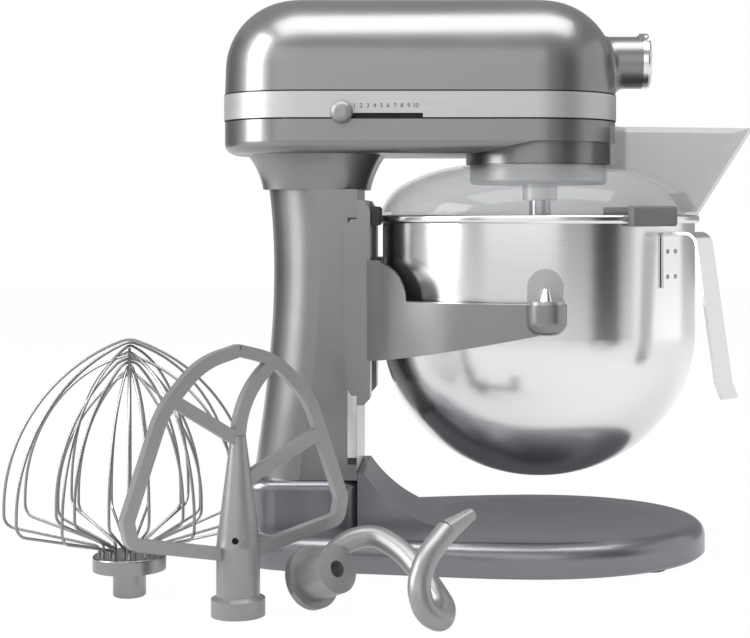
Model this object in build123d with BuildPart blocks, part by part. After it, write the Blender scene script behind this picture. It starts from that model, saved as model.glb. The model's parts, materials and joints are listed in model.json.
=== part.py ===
"""A bowl-lift stand mixer with its polished bowl, clear pouring shield and three tools.

Millimetres, +Z up. The origin lies on the table under the axis of the bowl,
+X points to the attachment hub and -Y to the side with the speed lever.
"""

import os
from math import asin, atan2, cos, degrees, pi, radians, sin, sqrt, tan

from build123d import *

os.makedirs("parts", exist_ok=True)

# Fits shared by every piece
run_gap = 0.05        # radial room of a shaft in its bush
seat_gap = 0.02       # radial room of a piece that is fixed in its seat
slide_gap = 0.3       # room between pieces that slide or turn past each other
clear_gap = 0.5       # room between pieces that never touch

# Base
base_front_x = 126.0
base_half_width = 110.0
base_waist_x = -133.0
base_waist_half = 91.0
base_tail_x = -199.0
base_tail_half = 76.0
base_rear_x = -244.0
base_bottom_z = 3.0
base_rim_z = 27.0
base_edge_r = 11.0
base_wall = 6.0
dish_depth = 3.0
dish_rim = 21.0
foot_r = 12.0
riser_top_z = 62.0
riser_margin = 5.0
riser_edge_r = 7.0
ramp_top_z = 67.0
ramp_end_x = -48.0
ramp_half_width = 45.0

# Column
column_front_x = -135.0
column_half_width = 45.0
column_top_z = 276.0
column_wall = 6.0
column_waist_z = 205.0
column_rear_bottom = -216.0
column_rear_low = -208.5
column_rear_waist = -201.0
column_rear_top = -204.5
bolt_r = 4.0
bolt_grip = 16.0

# Head
head_rear_x = -238.0
head_front_x = 58.7
head_half_width = 66.0
head_corner_r = 61.0
head_top_z = 419.0
head_taper = 2.0
head_top_r = 54.0
head_wall = 3.5
band_top_z = 347.0
band_bottom_z = 327.3
band_wall = 4.0
seam = 0.7
gland_r = 5.0
housing_edge_z = 311.0
housing_under_z = 302.0
housing_edge_r = 8.9
housing_wall = 4.0
neck_front_x = -129.0
neck_rear_x = -207.0
neck_blend_r = 22.0

# Speed control on the band
slot_rear_x = -151.0
slot_front_x = -86.0
slot_top_z = 330.8
knob_x = -144.6
knob_z = 331.4
knob_r = 8.1
knob_depth = 8.5
speed_travel = 53.4

# Attachment hub
hub_z = 372.9
nose_r = 19.8
nose_end_x = 78.0
nose_root_r = 7.0
hub_bore_r = 17.0
hub_cap_end_x = 85.0
hinge_pin_r = 1.2

# Drive train
gear_module = 1.75
centre_teeth = 56
motor_teeth = 14
ring_module = 1.5
ring_teeth = 54
planet_teeth = 16
bevel_module = 1.75
bevel_drive_teeth = 24
bevel_hub_teeth = 16
shaft_r = 8.0
motor_shaft_r = 5.0
motor_r = 37.0
ring_r = 55.0
ring_bottom_z = 295.0
carrier_r = 52.0
carrier_bottom_z = 280.0
planet_boss_r = 13.0
planet_boss_z = 268.0
beater_end_z = 240.0

# Bowl
bowl_r = 118.3
bowl_wall = 1.5
bowl_bottom_z = 62.5
bowl_knee_z = 170.0
bowl_rim_z = 257.0
rim_lip = 3.2
bowl_rim_r = bowl_r + rim_lip
bowl_foot_r = 24.0
bowl_travel = 36.0

# Arm that carries the bowl
arm_top_z = 196.0
arm_root_z = 151.0
arm_end_z = 176.0
arm_bowl_gap = 7.7
arm_wall = 12.0
arm_inner_r = bowl_r + arm_bowl_gap
arm_outer_r = arm_inner_r + arm_wall
cup_y = arm_outer_r - arm_wall / 3
cup_r = 14.0
arm_pin_h = 10.7
slide_front_x = -125.0
slide_bottom_z = 118.0
slide_top_z = 268.0
slide_half_width = 53.0
cheek_rear_x = -143.7
cheek_bottom_z = 125.0
cheek_top_z = 254.0
rail_bottom_z = 79.0
rail_top_z = 250.0
rail_depth = 2.5
rail_width = 6.6

# Lift lever on the far side
lift_x = -158.0
lift_z = 190.0
lift_swing = 90.0
lift_shaft_r = 6.0
crank_pin_r = 3.0
lever_length = 84.0

# Pouring shield
shield_wall = 2.0
shield_mouth_r = 57.5
shield_top_z = 294.3
chute_back_r = 65.0
chute_half_width = 40.0
chute_top_z = 323.0
chute_tip_x = 157.0
grip_width = 40.0
grip_angle = 52.0

# Tools that stand beside the mixer
whisk_x = -282.0
whisk_y = -142.0
whisk_r = 82.0
whisk_top_z = 173.0
wire_d = 1.9
whisk_turn = 11.3
beater_x = -201.0
beater_y = -196.0
beater_turn = 36.0
beater_top_z = 174.0
hook_rod_r = 7.2


def write(piece, label):
    """Labels a finished piece and writes its STEP file."""
    piece.part.label = label
    export_step(piece.part, f"parts/{label}.step")


def gear_points(teeth, module, phase, addendum=0.75, dedendum=1.1, scale=1.0):
    """Corners of a toothed wheel, four for each tooth; a tooth is centred on the phase angle.

    A negative addendum and dedendum give the inward teeth of a ring gear.
    """
    pitch_r = module * teeth / 2
    step = 2 * pi / teeth
    points = []
    for tooth in range(teeth):
        middle = radians(phase) + tooth * step
        for share, r in ((-0.29, pitch_r - dedendum * module), (-0.12, pitch_r + addendum * module),
                         (0.12, pitch_r + addendum * module), (0.29, pitch_r - dedendum * module)):
            angle = middle + share * step
            points.append((scale * r * cos(angle), scale * r * sin(angle)))
    return points


def toothed_wheel(teeth, module, phase, plane, thickness, bore_r):
    """A spur gear with a round bore, standing on the plane."""
    with BuildPart() as wheel:
        with BuildSketch(plane):
            with BuildLine():
                Polyline(*gear_points(teeth, module, phase), close=True)
            make_face()
            Circle(bore_r, mode=Mode.SUBTRACT)
        extrude(amount=thickness)
    return wheel


def bevel_wheel(teeth, phase, back_plane, front_plane, front_scale, bore_r, hub_r, hub_length):
    """A bevel gear whose teeth shrink towards the apex, with a plain hub behind it."""
    with BuildPart() as wheel:
        for plane, scale in ((back_plane, 1.0), (front_plane, front_scale)):
            with BuildSketch(plane):
                with BuildLine():
                    Polyline(*gear_points(teeth, bevel_module, phase, 0.5, 1.3, scale), close=True)
                make_face()
        loft(ruled=True)
        with BuildSketch(back_plane):
            Circle(hub_r)
        extrude(amount=-hub_length)
        with BuildSketch(back_plane):
            Circle(bore_r)
        extrude(amount=2 * hub_length, both=True, mode=Mode.SUBTRACT)
    return wheel


def sleeve(outer_r, inner_r, plane, length):
    """A plain ring or sleeve standing on the plane."""
    with BuildPart() as tube:
        with BuildSketch(plane):
            Circle(outer_r)
            Circle(inner_r, mode=Mode.SUBTRACT)
        extrude(amount=length)
    return tube


# Base casting: a tapering plan with a rounded rim, a shallow dish, the foot of the column and a ramp
tail_sag = base_tail_x - base_rear_x
tail_arc_r = (base_tail_half**2 + tail_sag**2) / (2 * tail_sag)
bolt_sites = [(column_front_x - 15.0, 32.0), (column_front_x - 15.0, -32.0),
              (column_rear_bottom + 24.0, 25.0), (column_rear_bottom + 24.0, -25.0)]
foot_sites = [(0.62 * base_front_x, 0.55 * base_half_width), (0.62 * base_front_x, -0.55 * base_half_width),
              (base_tail_x + foot_r, 0.62 * base_tail_half), (base_tail_x + foot_r, -0.62 * base_tail_half)]
bolt_head_r = 1.8 * bolt_r
bolt_head_h = 5.0
dish_r = base_half_width - dish_rim
dish_sphere_r = (dish_r**2 + dish_depth**2) / (2 * dish_depth)
riser_rear_x = column_rear_bottom - riser_margin
riser_front_x = column_front_x + riser_margin
ramp_foot_z = base_rim_z - dish_depth
ramp_run = ramp_end_x - riser_front_x
ramp_drop = ramp_top_z - ramp_foot_z
ramp_r = (ramp_run**2 + ramp_drop**2) / (2 * ramp_drop)
ramp_half_turn = asin(ramp_run / ramp_r) / 2


def base_block(inset, height):
    """The plan of the base, tapering to its rounded tail, as a block on its underside."""
    half, waist, tail = base_half_width - inset, base_waist_half - inset, base_tail_half - inset
    with BuildPart() as block:
        with BuildSketch(Plane.XY.offset(base_bottom_z)):
            with BuildLine():
                EllipticalCenterArc((0, 0), base_front_x - inset, half, start_angle=-90, arc_size=180)
                side = Spline((0, half), (base_waist_x, waist), (base_tail_x, tail),
                              tangents=((-1, 0), (-base_tail_half, tail_sag - tail_arc_r)))
                mirror(side, about=Plane.XZ)
                ThreePointArc((base_tail_x, tail), (base_rear_x + inset, 0), (base_tail_x, -tail))
            make_face()
        extrude(amount=height)
    return block


base_outside = base_block(0.0, base_rim_z - base_bottom_z)
base_hollow = base_block(base_wall, ramp_foot_z - base_wall - base_bottom_z)
with BuildPart() as base_casting:
    add(base_outside.part)
    fillet(base_casting.edges().group_by(Axis.Z)[-1], radius=base_edge_r)
    chamfer(base_casting.edges().group_by(Axis.Z)[0], length=2.0)
    with Locations((0, 0, base_rim_z - dish_depth + dish_sphere_r)):
        Sphere(dish_sphere_r, mode=Mode.SUBTRACT)
    with BuildSketch(Plane.XY.offset(ramp_foot_z - dish_depth)):
        with Locations(((riser_rear_x + riser_front_x) / 2, 0)):
            RectangleRounded(riser_front_x - riser_rear_x, 2 * (column_half_width + riser_margin), 26.0)
    extrude(amount=riser_top_z - ramp_foot_z + dish_depth)
    fillet(base_casting.faces().filter_by(Axis.Z).sort_by(Axis.Z)[-1].edges(), radius=riser_edge_r)
    with BuildSketch(Plane.XZ):
        with BuildLine():
            lip = Polyline((ramp_end_x, ramp_foot_z), (ramp_end_x, ramp_foot_z - dish_depth),
                           (column_front_x + slide_gap, ramp_foot_z - dish_depth),
                           (column_front_x + slide_gap, ramp_top_z), (riser_front_x, ramp_top_z))
            ThreePointArc(lip @ 1, (ramp_end_x - ramp_r * sin(ramp_half_turn),
                                    ramp_foot_z + ramp_r * (1 - cos(ramp_half_turn))), lip @ 0)
        make_face()
    extrude(amount=ramp_half_width, both=True)
    add(base_hollow.part, mode=Mode.SUBTRACT)
    for sites, boss_r in ((foot_sites, foot_r + 2.0), (bolt_sites, bolt_head_r + base_wall)):
        with BuildSketch(Plane.XY.offset(base_bottom_z)):
            with Locations(*sites):
                Circle(boss_r)
        extrude(amount=ramp_foot_z - base_wall - base_bottom_z)
    with Locations(*[Pos(x, y, base_bottom_z) for x, y in bolt_sites]):
        Cylinder(bolt_r + seat_gap, 3 * riser_top_z, mode=Mode.SUBTRACT)
        Cylinder(bolt_head_r + seat_gap, 2 * bolt_head_h, mode=Mode.SUBTRACT)
write(base_casting, "base_casting")

with BuildPart() as base_feet:
    with BuildSketch(Plane.XY):
        with Locations(*foot_sites):
            Circle(foot_r)
    extrude(amount=base_bottom_z)
    chamfer(base_feet.edges().group_by(Axis.Z)[0], length=0.6)
write(base_feet, "base_feet")

with BuildPart() as base_bolts:
    for x, y in bolt_sites:
        with BuildSketch(Plane((x, y, base_bottom_z + bolt_head_h))):
            Circle(bolt_r)
        extrude(amount=riser_top_z + bolt_grip - base_bottom_z - bolt_head_h)
        with BuildSketch(Plane((x, y, base_bottom_z + bolt_head_h))):
            Circle(bolt_head_r)
        extrude(amount=-bolt_head_h)
write(base_bolts, "base_bolts")

# Column: D-shaped sections that narrow to a waist, hollow, with a slot in front for the lift tab
column_low_z = riser_top_z + 52.0
column_web = 8.0
bush_r = lift_shaft_r + 3.0
bush_flange = 2.5
crank_r = bowl_travel / 2 / sin(radians(lift_swing / 2))
tab_z = lift_z + bowl_travel / 2
tab_half_h = 7.0
tab_near_y = -10.0
tab_far_y = -1.0


def column_loft(inset, top_z):
    """The outside of the column, or its hollow when an inset is given."""
    half = column_half_width - inset
    with BuildPart() as shaft:
        for z, rear_x in ((riser_top_z, column_rear_bottom), (column_low_z, column_rear_low),
                          (column_waist_z, column_rear_waist), (top_z, column_rear_top)):
            front_x, back_x = column_front_x - inset, rear_x + inset
            with BuildSketch(Plane.XY.offset(z)):
                with BuildLine():
                    Line((front_x, -half), (front_x, half))
                    Line((front_x, half), (back_x + 0.85 * half, half))
                    ThreePointArc((back_x + 0.85 * half, half), (back_x, 0), (back_x + 0.85 * half, -half))
                    Line((back_x + 0.85 * half, -half), (front_x, -half))
                make_face()
        loft()
    return shaft


column_outside = column_loft(0.0, column_top_z)
column_hollow = column_loft(column_wall, column_top_z - column_web)
with BuildPart() as column:
    add(column_outside.part)
    add(column_hollow.part, mode=Mode.SUBTRACT)
    for x, y in bolt_sites:
        with BuildSketch(Plane((x, y, riser_top_z))):
            Circle(2.2 * bolt_r)
        extrude(amount=bolt_grip)
        with BuildSketch(Plane((x, y, riser_top_z))):
            Circle(bolt_r + seat_gap)
        extrude(amount=bolt_grip, mode=Mode.SUBTRACT)
    with BuildSketch(Plane.YZ.offset(column_front_x - column_wall - clear_gap)):
        with Locations(((tab_near_y + tab_far_y) / 2, lift_z)):
            Rectangle(tab_far_y - tab_near_y + 4 * clear_gap, bowl_travel + 2 * (tab_half_h + 2 * clear_gap))
    extrude(amount=column_wall + 2 * clear_gap, mode=Mode.SUBTRACT)
    with BuildSketch(Plane.XZ.offset(-column_half_width - 1)):
        with Locations((lift_x, lift_z)):
            Circle(bush_r + seat_gap)
    extrude(amount=column_wall + 2, mode=Mode.SUBTRACT)
write(column, "column")

with BuildPart() as lever_bush:
    with BuildSketch(Plane.XZ.offset(-column_half_width)):
        with Locations((lift_x, lift_z)):
            Circle(bush_r)
    extrude(amount=column_wall)
    with BuildSketch(Plane.XZ.offset(-column_half_width - bush_flange)):
        with Locations((lift_x, lift_z)):
            Circle(bush_r + 3.0)
    extrude(amount=bush_flange)
    with BuildSketch(Plane.XZ.offset(-column_half_width - bush_flange)):
        with Locations((lift_x, lift_z)):
            Circle(lift_shaft_r + run_gap)
    extrude(amount=column_wall + bush_flange, mode=Mode.SUBTRACT)
write(lever_bush, "lever_bush")

rail_mid_x = column_front_x - 0.2 - rail_width / 2
rail_sides = ((1, column_half_width), (-1, -column_half_width))
stop_h = 5.0
with BuildPart() as guide_rails:
    for way, y in rail_sides:
        with BuildSketch(Plane((rail_mid_x, y + way * rail_depth / 2, rail_bottom_z))):
            Rectangle(rail_width, rail_depth)
        extrude(amount=rail_top_z - rail_bottom_z)
write(guide_rails, "guide_rails")

with BuildPart() as rail_stops:
    for way, y in rail_sides:
        for z in (rail_bottom_z - stop_h, rail_top_z):
            with BuildSketch(Plane((rail_mid_x, y + way * rail_depth / 2, z))):
                Rectangle(rail_width, rail_depth)
            extrude(amount=stop_h)
write(rail_stops, "rail_stops")

# Head: a lower housing with the neck, a trim band and a domed cover with the hub nose
head_length = head_front_x - head_rear_x
head_mid_x = (head_front_x + head_rear_x) / 2
neck_half = column_half_width
neck_drop = housing_under_z - column_top_z
centre_distance = gear_module * (centre_teeth + motor_teeth) / 2
motor_x = -centre_distance
planet_offset = ring_module * (ring_teeth - planet_teeth) / 2
floor_top_z = housing_edge_z + 5.0
gear_z = floor_top_z + 2.5
gear_width = 8.0
plate_z = gear_z + gear_width + 4.0
plate_h = 4.0
leg_r = 4.0
leg_sites = [(x, y) for x in (head_rear_x + 53.0, -10.0) for y in (56.0, -56.0)]


def head_plan(plane, inset, height, taper=0.0):
    """A block with the rounded plan of the head, standing on the plane."""
    with BuildPart() as block:
        with BuildSketch(plane):
            with Locations((head_mid_x, 0)):
                RectangleRounded(head_length - 2 * inset, 2 * (head_half_width - inset),
                                 head_corner_r - inset)
        extrude(amount=height, taper=taper)
    return block


def head_dome(inset, base_z, top_z):
    """The tapering block of the cover with its large top rounding, or its hollow."""
    with BuildPart() as dome:
        with BuildSketch(Plane.XY.offset(base_z)):
            with Locations((head_mid_x, 0)):
                RectangleRounded(head_length - 2 * inset, 2 * (head_half_width - inset),
                                 head_corner_r - inset)
        extrude(amount=top_z - base_z, taper=head_taper)
        fillet(dome.edges().group_by(Axis.Z)[-1], radius=head_top_r - inset)
    return dome


housing_block = head_plan(Plane.XY.offset(housing_under_z), seam, band_bottom_z - housing_under_z - seam)
housing_hollow = head_plan(Plane.XY.offset(floor_top_z), seam + housing_wall, band_bottom_z - floor_top_z)
with BuildPart() as lower_housing:
    add(housing_block.part)
    fillet(lower_housing.edges().group_by(Axis.Z)[0], radius=housing_edge_r)
    # The neck flares from the column into the underside in front, behind and at both sides
    with BuildSketch(Plane.XY.offset(housing_under_z + neck_blend_r / 2)):
        with Locations(((neck_front_x + neck_rear_x) / 2 - 1.0, 0)):
            RectangleRounded(neck_front_x - neck_rear_x + 2 * neck_blend_r,
                             2 * (neck_half + 0.7 * neck_blend_r), 45.0)
    with BuildSketch(Plane.XY.offset(housing_under_z - 0.3 * neck_drop)):
        with Locations(((neck_front_x + neck_rear_x) / 2, 0)):
            RectangleRounded(neck_front_x - neck_rear_x + 0.6 * neck_blend_r,
                             2 * (neck_half + 0.2 * neck_blend_r), 33.0)
    with BuildSketch(Plane.XY.offset(column_top_z)):
        with Locations(((neck_front_x + neck_rear_x) / 2, 0)):
            RectangleRounded(neck_front_x - neck_rear_x, 2 * neck_half, 26.0)
    loft()
    # In front of the neck the underside climbs to the seat of the planetary ring
    with BuildSketch(Plane.XZ):
        with BuildLine():
            Polyline((-48.0, housing_under_z - 1), (-48.0, housing_under_z), (-5.0, housing_edge_z),
                     (head_front_x + 1, housing_edge_z), (head_front_x + 1, housing_under_z - 1), close=True)
        make_face()
    extrude(amount=head_half_width + 1, both=True, mode=Mode.SUBTRACT)
    with BuildSketch(Plane.XY.offset(housing_under_z - 1)):
        Circle(ring_r + slide_gap)
    extrude(amount=housing_edge_z - housing_under_z + 1, mode=Mode.SUBTRACT)
    add(housing_hollow.part, mode=Mode.SUBTRACT)
    with BuildSketch(Plane.XY.offset(housing_under_z)):
        Circle(shaft_r + 6.0 + seat_gap)
    extrude(amount=floor_top_z - housing_under_z, mode=Mode.SUBTRACT)
    with BuildSketch(Plane.YZ.offset(head_rear_x)):
        with Locations((0, (floor_top_z + band_bottom_z) / 2)):
            Circle(gland_r + seat_gap)
    extrude(amount=4 * housing_wall, both=True, mode=Mode.SUBTRACT)
write(lower_housing, "lower_housing")

with BuildPart() as cord_gland:
    with BuildSketch(Plane.YZ.offset(head_rear_x + seam)):
        with Locations((0, (floor_top_z + band_bottom_z) / 2)):
            Circle(gland_r)
            Circle(gland_r - 1.8, mode=Mode.SUBTRACT)
    extrude(amount=housing_wall + 2.0)
write(cord_gland, "cord_gland")

band_hollow = head_plan(Plane.XY.offset(band_bottom_z), band_wall, band_top_z - band_bottom_z)
band_block = head_plan(Plane.XY.offset(band_bottom_z), 0.0, band_top_z - band_bottom_z)
with BuildPart() as trim_band:
    add(band_block.part)
    chamfer(trim_band.edges().filter_by(GeomType.LINE, reverse=True).group_by(Axis.Z)[0], length=0.4)
    add(band_hollow.part, mode=Mode.SUBTRACT)
    with BuildSketch(Plane.XZ.offset(head_half_width + 1)):
        with Locations(((slot_rear_x + slot_front_x) / 2, (band_bottom_z + slot_top_z) / 2)):
            Rectangle(slot_front_x - slot_rear_x, slot_top_z - band_bottom_z)
    extrude(amount=-band_wall - 2, mode=Mode.SUBTRACT)
write(trim_band, "trim_band")

# Cover: one dome with the hub nose let into its front
cover_base_z = band_top_z + seam
bush_wall = 5.0
hub_shaft_r = 9.0
nose_root_x = 30.0
hub_seat_x = 50.0
hub_bush_r = hub_shaft_r + bush_wall
hub_plane = Plane.YZ.offset(nose_root_x)
cap_top_z = hub_z + 0.8 * nose_r
hinge_x = nose_end_x + 3.2
hinge_z = cap_top_z + 3.3
knuckle_r = 2.2
knuckle_half = 5.0
ear_width = 4.0
hub_knob_x = 66.0
hub_knob_stem_r = 4.0

cover_outside = head_dome(seam, cover_base_z, head_top_z)
cover_hollow = head_dome(seam + head_wall, cover_base_z, head_top_z - head_wall)
with BuildPart() as top_cover:
    add(cover_outside.part)
    with BuildSketch(hub_plane):
        with Locations((0, hub_z)):
            Circle(nose_r)
    extrude(amount=nose_end_x - nose_root_x)
    root_edges = top_cover.edges().filter_by_position(Axis.X, head_front_x - 40, nose_end_x - 4)
    nose_root = root_edges.filter_by(lambda e: abs(e.center().Z - hub_z) < nose_r
                                     and abs(e.center().Y) < nose_r)
    fillet(nose_root, radius=nose_root_r)
    add(cover_hollow.part, mode=Mode.SUBTRACT)
    with BuildSketch(hub_plane):
        with Locations((0, hub_z)):
            Circle(nose_r)
    extrude(amount=hub_seat_x - nose_root_x)
    with BuildSketch(hub_plane):
        with Locations((0, hub_z)):
            Circle(hub_bush_r + seat_gap)
    extrude(amount=hub_seat_x - nose_root_x, mode=Mode.SUBTRACT)
    with BuildSketch(Plane.YZ.offset(hub_seat_x)):
        with Locations((0, hub_z)):
            Circle(hub_bore_r)
    extrude(amount=nose_end_x - hub_seat_x, mode=Mode.SUBTRACT)
    # Two ears above the bore carry the hinge pin of the hub cap
    for y in (knuckle_half + slide_gap, -knuckle_half - slide_gap - ear_width):
        with BuildSketch(Plane.XZ.offset(-y)):
            with Locations(((nose_end_x - 2.0 + hinge_x) / 2, hinge_z)):
                Rectangle(hinge_x - nose_end_x + 2.0, 2 * knuckle_r)
            with Locations((hinge_x, hinge_z)):
                Circle(knuckle_r)
            with Locations((hinge_x, hinge_z)):
                Circle(hinge_pin_r + seat_gap, mode=Mode.SUBTRACT)
        extrude(amount=-ear_width)
    with BuildSketch(Plane.XZ.offset(-hub_bore_r + 3.0)):
        with Locations((hub_knob_x, hub_z)):
            Circle(hub_knob_stem_r + run_gap)
    extrude(amount=-nose_r, mode=Mode.SUBTRACT)
write(top_cover, "top_cover")

with BuildPart() as hub_hinge_pin:
    with BuildSketch(Plane.XZ.offset(-knuckle_half - slide_gap - ear_width)):
        with Locations((hinge_x, hinge_z)):
            Circle(hinge_pin_r)
    extrude(amount=2 * (knuckle_half + slide_gap + ear_width))
write(hub_hinge_pin, "hub_hinge_pin")

with BuildPart() as hub_cover:
    with BuildSketch(Plane.YZ.offset(nose_end_x + slide_gap)):
        with Locations((0, hub_z)):
            Circle(nose_r)
    extrude(amount=hub_cap_end_x - nose_end_x - slide_gap)
    fillet(hub_cover.edges().group_by(Axis.X)[-1], radius=3.0)
    with BuildSketch(Plane.XY.offset(cap_top_z)):
        with Locations((nose_end_x, 0)):
            Rectangle(4 * nose_r, 4 * nose_r)
    extrude(amount=nose_r, mode=Mode.SUBTRACT)
    with BuildSketch(Plane.XZ.offset(-knuckle_half)):
        with Locations((hinge_x, hinge_z)):
            Circle(knuckle_r)
        with Locations((hinge_x, hinge_z - knuckle_r)):
            Rectangle(2 * knuckle_r, 2 * knuckle_r)
        with Locations((hinge_x, hinge_z)):
            Circle(hinge_pin_r + run_gap, mode=Mode.SUBTRACT)
    extrude(amount=2 * knuckle_half)
write(hub_cover, "hub_cover")

with BuildPart() as hub_knob:
    with BuildSketch(Plane.XZ.offset(-hub_bore_r)):
        with Locations((hub_knob_x, hub_z)):
            Circle(hub_knob_stem_r)
    extrude(amount=-(nose_r - hub_bore_r) - 3.0)
    with BuildSketch(Plane.XZ.offset(-nose_r - 3.0)):
        with Locations((hub_knob_x, hub_z)):
            Circle(10.0)
            with PolarLocations(11.5, 8):
                Circle(2.4, mode=Mode.SUBTRACT)
    extrude(amount=-12.0)
write(hub_knob, "hub_knob")

# Speed lever: a domed knob outside, its stem through the slot, and a guide behind the band
stem_z = (band_bottom_z + slot_top_z) / 2
stem_half_h = (slot_top_z - band_bottom_z) / 2 - slide_gap
guide_face_y = -head_half_width + band_wall + 3.0
guide_h = 16.0
guide_wall = 3.0
with BuildPart() as speed_knob:
    with BuildSketch(Plane.XZ.offset(head_half_width + clear_gap)):
        with Locations((knob_x, knob_z)):
            Circle(knob_r)
    extrude(amount=knob_depth)
    fillet(speed_knob.edges().group_by(Axis.Y)[0], radius=0.6 * knob_r)
write(speed_knob, "speed_knob")

with BuildPart() as speed_lever_arm:
    with BuildSketch(Plane.XZ.offset(head_half_width + clear_gap)):
        with Locations((knob_x, stem_z)):
            Rectangle(5.0, 2 * stem_half_h)
    extrude(amount=guide_face_y + head_half_width + clear_gap - slide_gap, dir=(0, 1, 0))
write(speed_lever_arm, "speed_lever_arm")

with BuildPart() as speed_guide:
    with BuildSketch(Plane.XZ.offset(-guide_face_y)):
        with Locations(((slot_rear_x + slot_front_x) / 2, plate_z + guide_h / 2 - 6.0)):
            Rectangle(slot_front_x - slot_rear_x + 20.0, guide_h)
    extrude(amount=-guide_wall)
write(speed_guide, "speed_guide")

# Planetary gear under the head
ring_gear_r = ring_module * ring_teeth / 2 + 6.0
ring_gear_z = housing_edge_z - 11.0
planet_bush_r = shaft_r + run_gap + 2.5
carrier_top_z = ring_bottom_z - slide_gap
bush_gap_z = carrier_bottom_z + 4.0
bearing_r = shaft_r + 6.0
bevel_back_z = hub_z - bevel_module * bevel_hub_teeth / 2
bevel_back_x = bevel_module * bevel_drive_teeth / 2
bevel_face = 0.7

drip_ring = sleeve(ring_r, ring_gear_r + seat_gap, Plane.XY.offset(ring_bottom_z),
                   housing_edge_z - ring_bottom_z)
write(drip_ring, "drip_ring")

with BuildPart() as ring_gear:
    with BuildSketch(Plane.XY.offset(ring_gear_z)):
        Circle(ring_gear_r)
        with BuildLine():
            Polyline(*gear_points(ring_teeth, ring_module, -90 + 180 / ring_teeth, -0.75, -1.1), close=True)
        make_face(mode=Mode.SUBTRACT)
    extrude(amount=housing_edge_z - ring_gear_z)
write(ring_gear, "ring_gear")

with BuildPart() as planetary_carrier:
    with BuildSketch(Plane.XY.offset(carrier_bottom_z)):
        Circle(carrier_r)
    extrude(amount=carrier_top_z - carrier_bottom_z)
    fillet(planetary_carrier.edges().group_by(Axis.Z)[0], radius=3.0)
    with BuildSketch(Plane.XY.offset(carrier_bottom_z)):
        with Locations((0, -planet_offset)):
            Circle(planet_boss_r)
    extrude(amount=planet_boss_z - carrier_bottom_z)
    with BuildSketch(Plane.XY.offset(planet_boss_z)):
        with Locations((0, -planet_offset)):
            Circle(planet_bush_r + seat_gap)
    extrude(amount=carrier_top_z - planet_boss_z, mode=Mode.SUBTRACT)
    with BuildSketch(Plane.XY.offset(carrier_bottom_z)):
        Circle(shaft_r + seat_gap)
    extrude(amount=carrier_top_z - carrier_bottom_z, mode=Mode.SUBTRACT)
write(planetary_carrier, "planetary_carrier")

with BuildPart() as planet_bushes:
    for low_z, high_z in ((planet_boss_z, carrier_bottom_z - 1.0), (bush_gap_z, carrier_top_z)):
        with BuildSketch(Plane((0, -planet_offset, low_z))):
            Circle(planet_bush_r)
            Circle(shaft_r + run_gap, mode=Mode.SUBTRACT)
        extrude(amount=high_z - low_z)
write(planet_bushes, "planet_bushes")

pinion_z = ring_gear_z + 1.0
pinion_width = 9.0
cross_pin_r = 2.0
cross_pin_z = beater_end_z + 6.0
with BuildPart() as beater_shaft:
    with BuildSketch(Plane((0, -planet_offset, beater_end_z))):
        Circle(shaft_r)
    extrude(amount=pinion_z + pinion_width - beater_end_z)
    chamfer(beater_shaft.edges().group_by(Axis.Z)[0], length=1.0)
    with BuildSketch(Plane((0, -planet_offset, cross_pin_z), x_dir=(0, 1, 0), z_dir=(1, 0, 0))):
        Circle(cross_pin_r + seat_gap)
    extrude(amount=2 * shaft_r, both=True, mode=Mode.SUBTRACT)
write(beater_shaft, "beater_shaft")

with BuildPart() as beater_cross_pin:
    with BuildSketch(Plane((0, -planet_offset, cross_pin_z), x_dir=(0, 1, 0), z_dir=(1, 0, 0))):
        Circle(cross_pin_r)
    extrude(amount=1.5 * shaft_r, both=True)
write(beater_cross_pin, "beater_cross_pin")

planet_plane = Plane((0, -planet_offset, pinion_z))
planet_pinion = toothed_wheel(planet_teeth, ring_module, -90, planet_plane, pinion_width, shaft_r + seat_gap)
write(planet_pinion, "planet_pinion")

# Centre shaft with the large spur gear and the bevel gear that turns the hub
centre_gear = toothed_wheel(centre_teeth, gear_module, 0, Plane.XY.offset(gear_z), gear_width,
                            shaft_r + seat_gap)
write(centre_gear, "centre_gear")

with BuildPart() as centre_shaft:
    with BuildSketch(Plane.XY.offset(carrier_bottom_z)):
        Circle(shaft_r)
    extrude(amount=bevel_back_z + 2.0 - carrier_bottom_z)
write(centre_shaft, "centre_shaft")

drive_planes = Plane.XY.offset(bevel_back_z), Plane.XY.offset(hub_z - bevel_face * (hub_z - bevel_back_z))
bevel_drive_gear = bevel_wheel(bevel_drive_teeth, 0, *drive_planes, bevel_face, shaft_r + seat_gap, 13.0, 9.0)
write(bevel_drive_gear, "bevel_drive_gear")

with BuildPart() as shaft_bearings:
    for z, height in ((housing_edge_z, floor_top_z - housing_edge_z), (plate_z, plate_h)):
        with BuildSketch(Plane.XY.offset(z)):
            Circle(bearing_r)
            Circle(shaft_r + run_gap, mode=Mode.SUBTRACT)
        extrude(amount=height)
write(shaft_bearings, "shaft_bearings")

hub_spigot_r = 5.0
hub_collar = 6.0
hub_planes = [Plane((share * bevel_back_x, 0, hub_z), x_dir=(0, 1, 0), z_dir=(-1, 0, 0))
              for share in (1.0, bevel_face)]
hub_bevel_gear = bevel_wheel(bevel_hub_teeth, 90 + 180 / bevel_hub_teeth, *hub_planes, bevel_face,
                             hub_spigot_r + seat_gap, hub_shaft_r, hub_collar)
write(hub_bevel_gear, "hub_bevel_gear")

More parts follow.
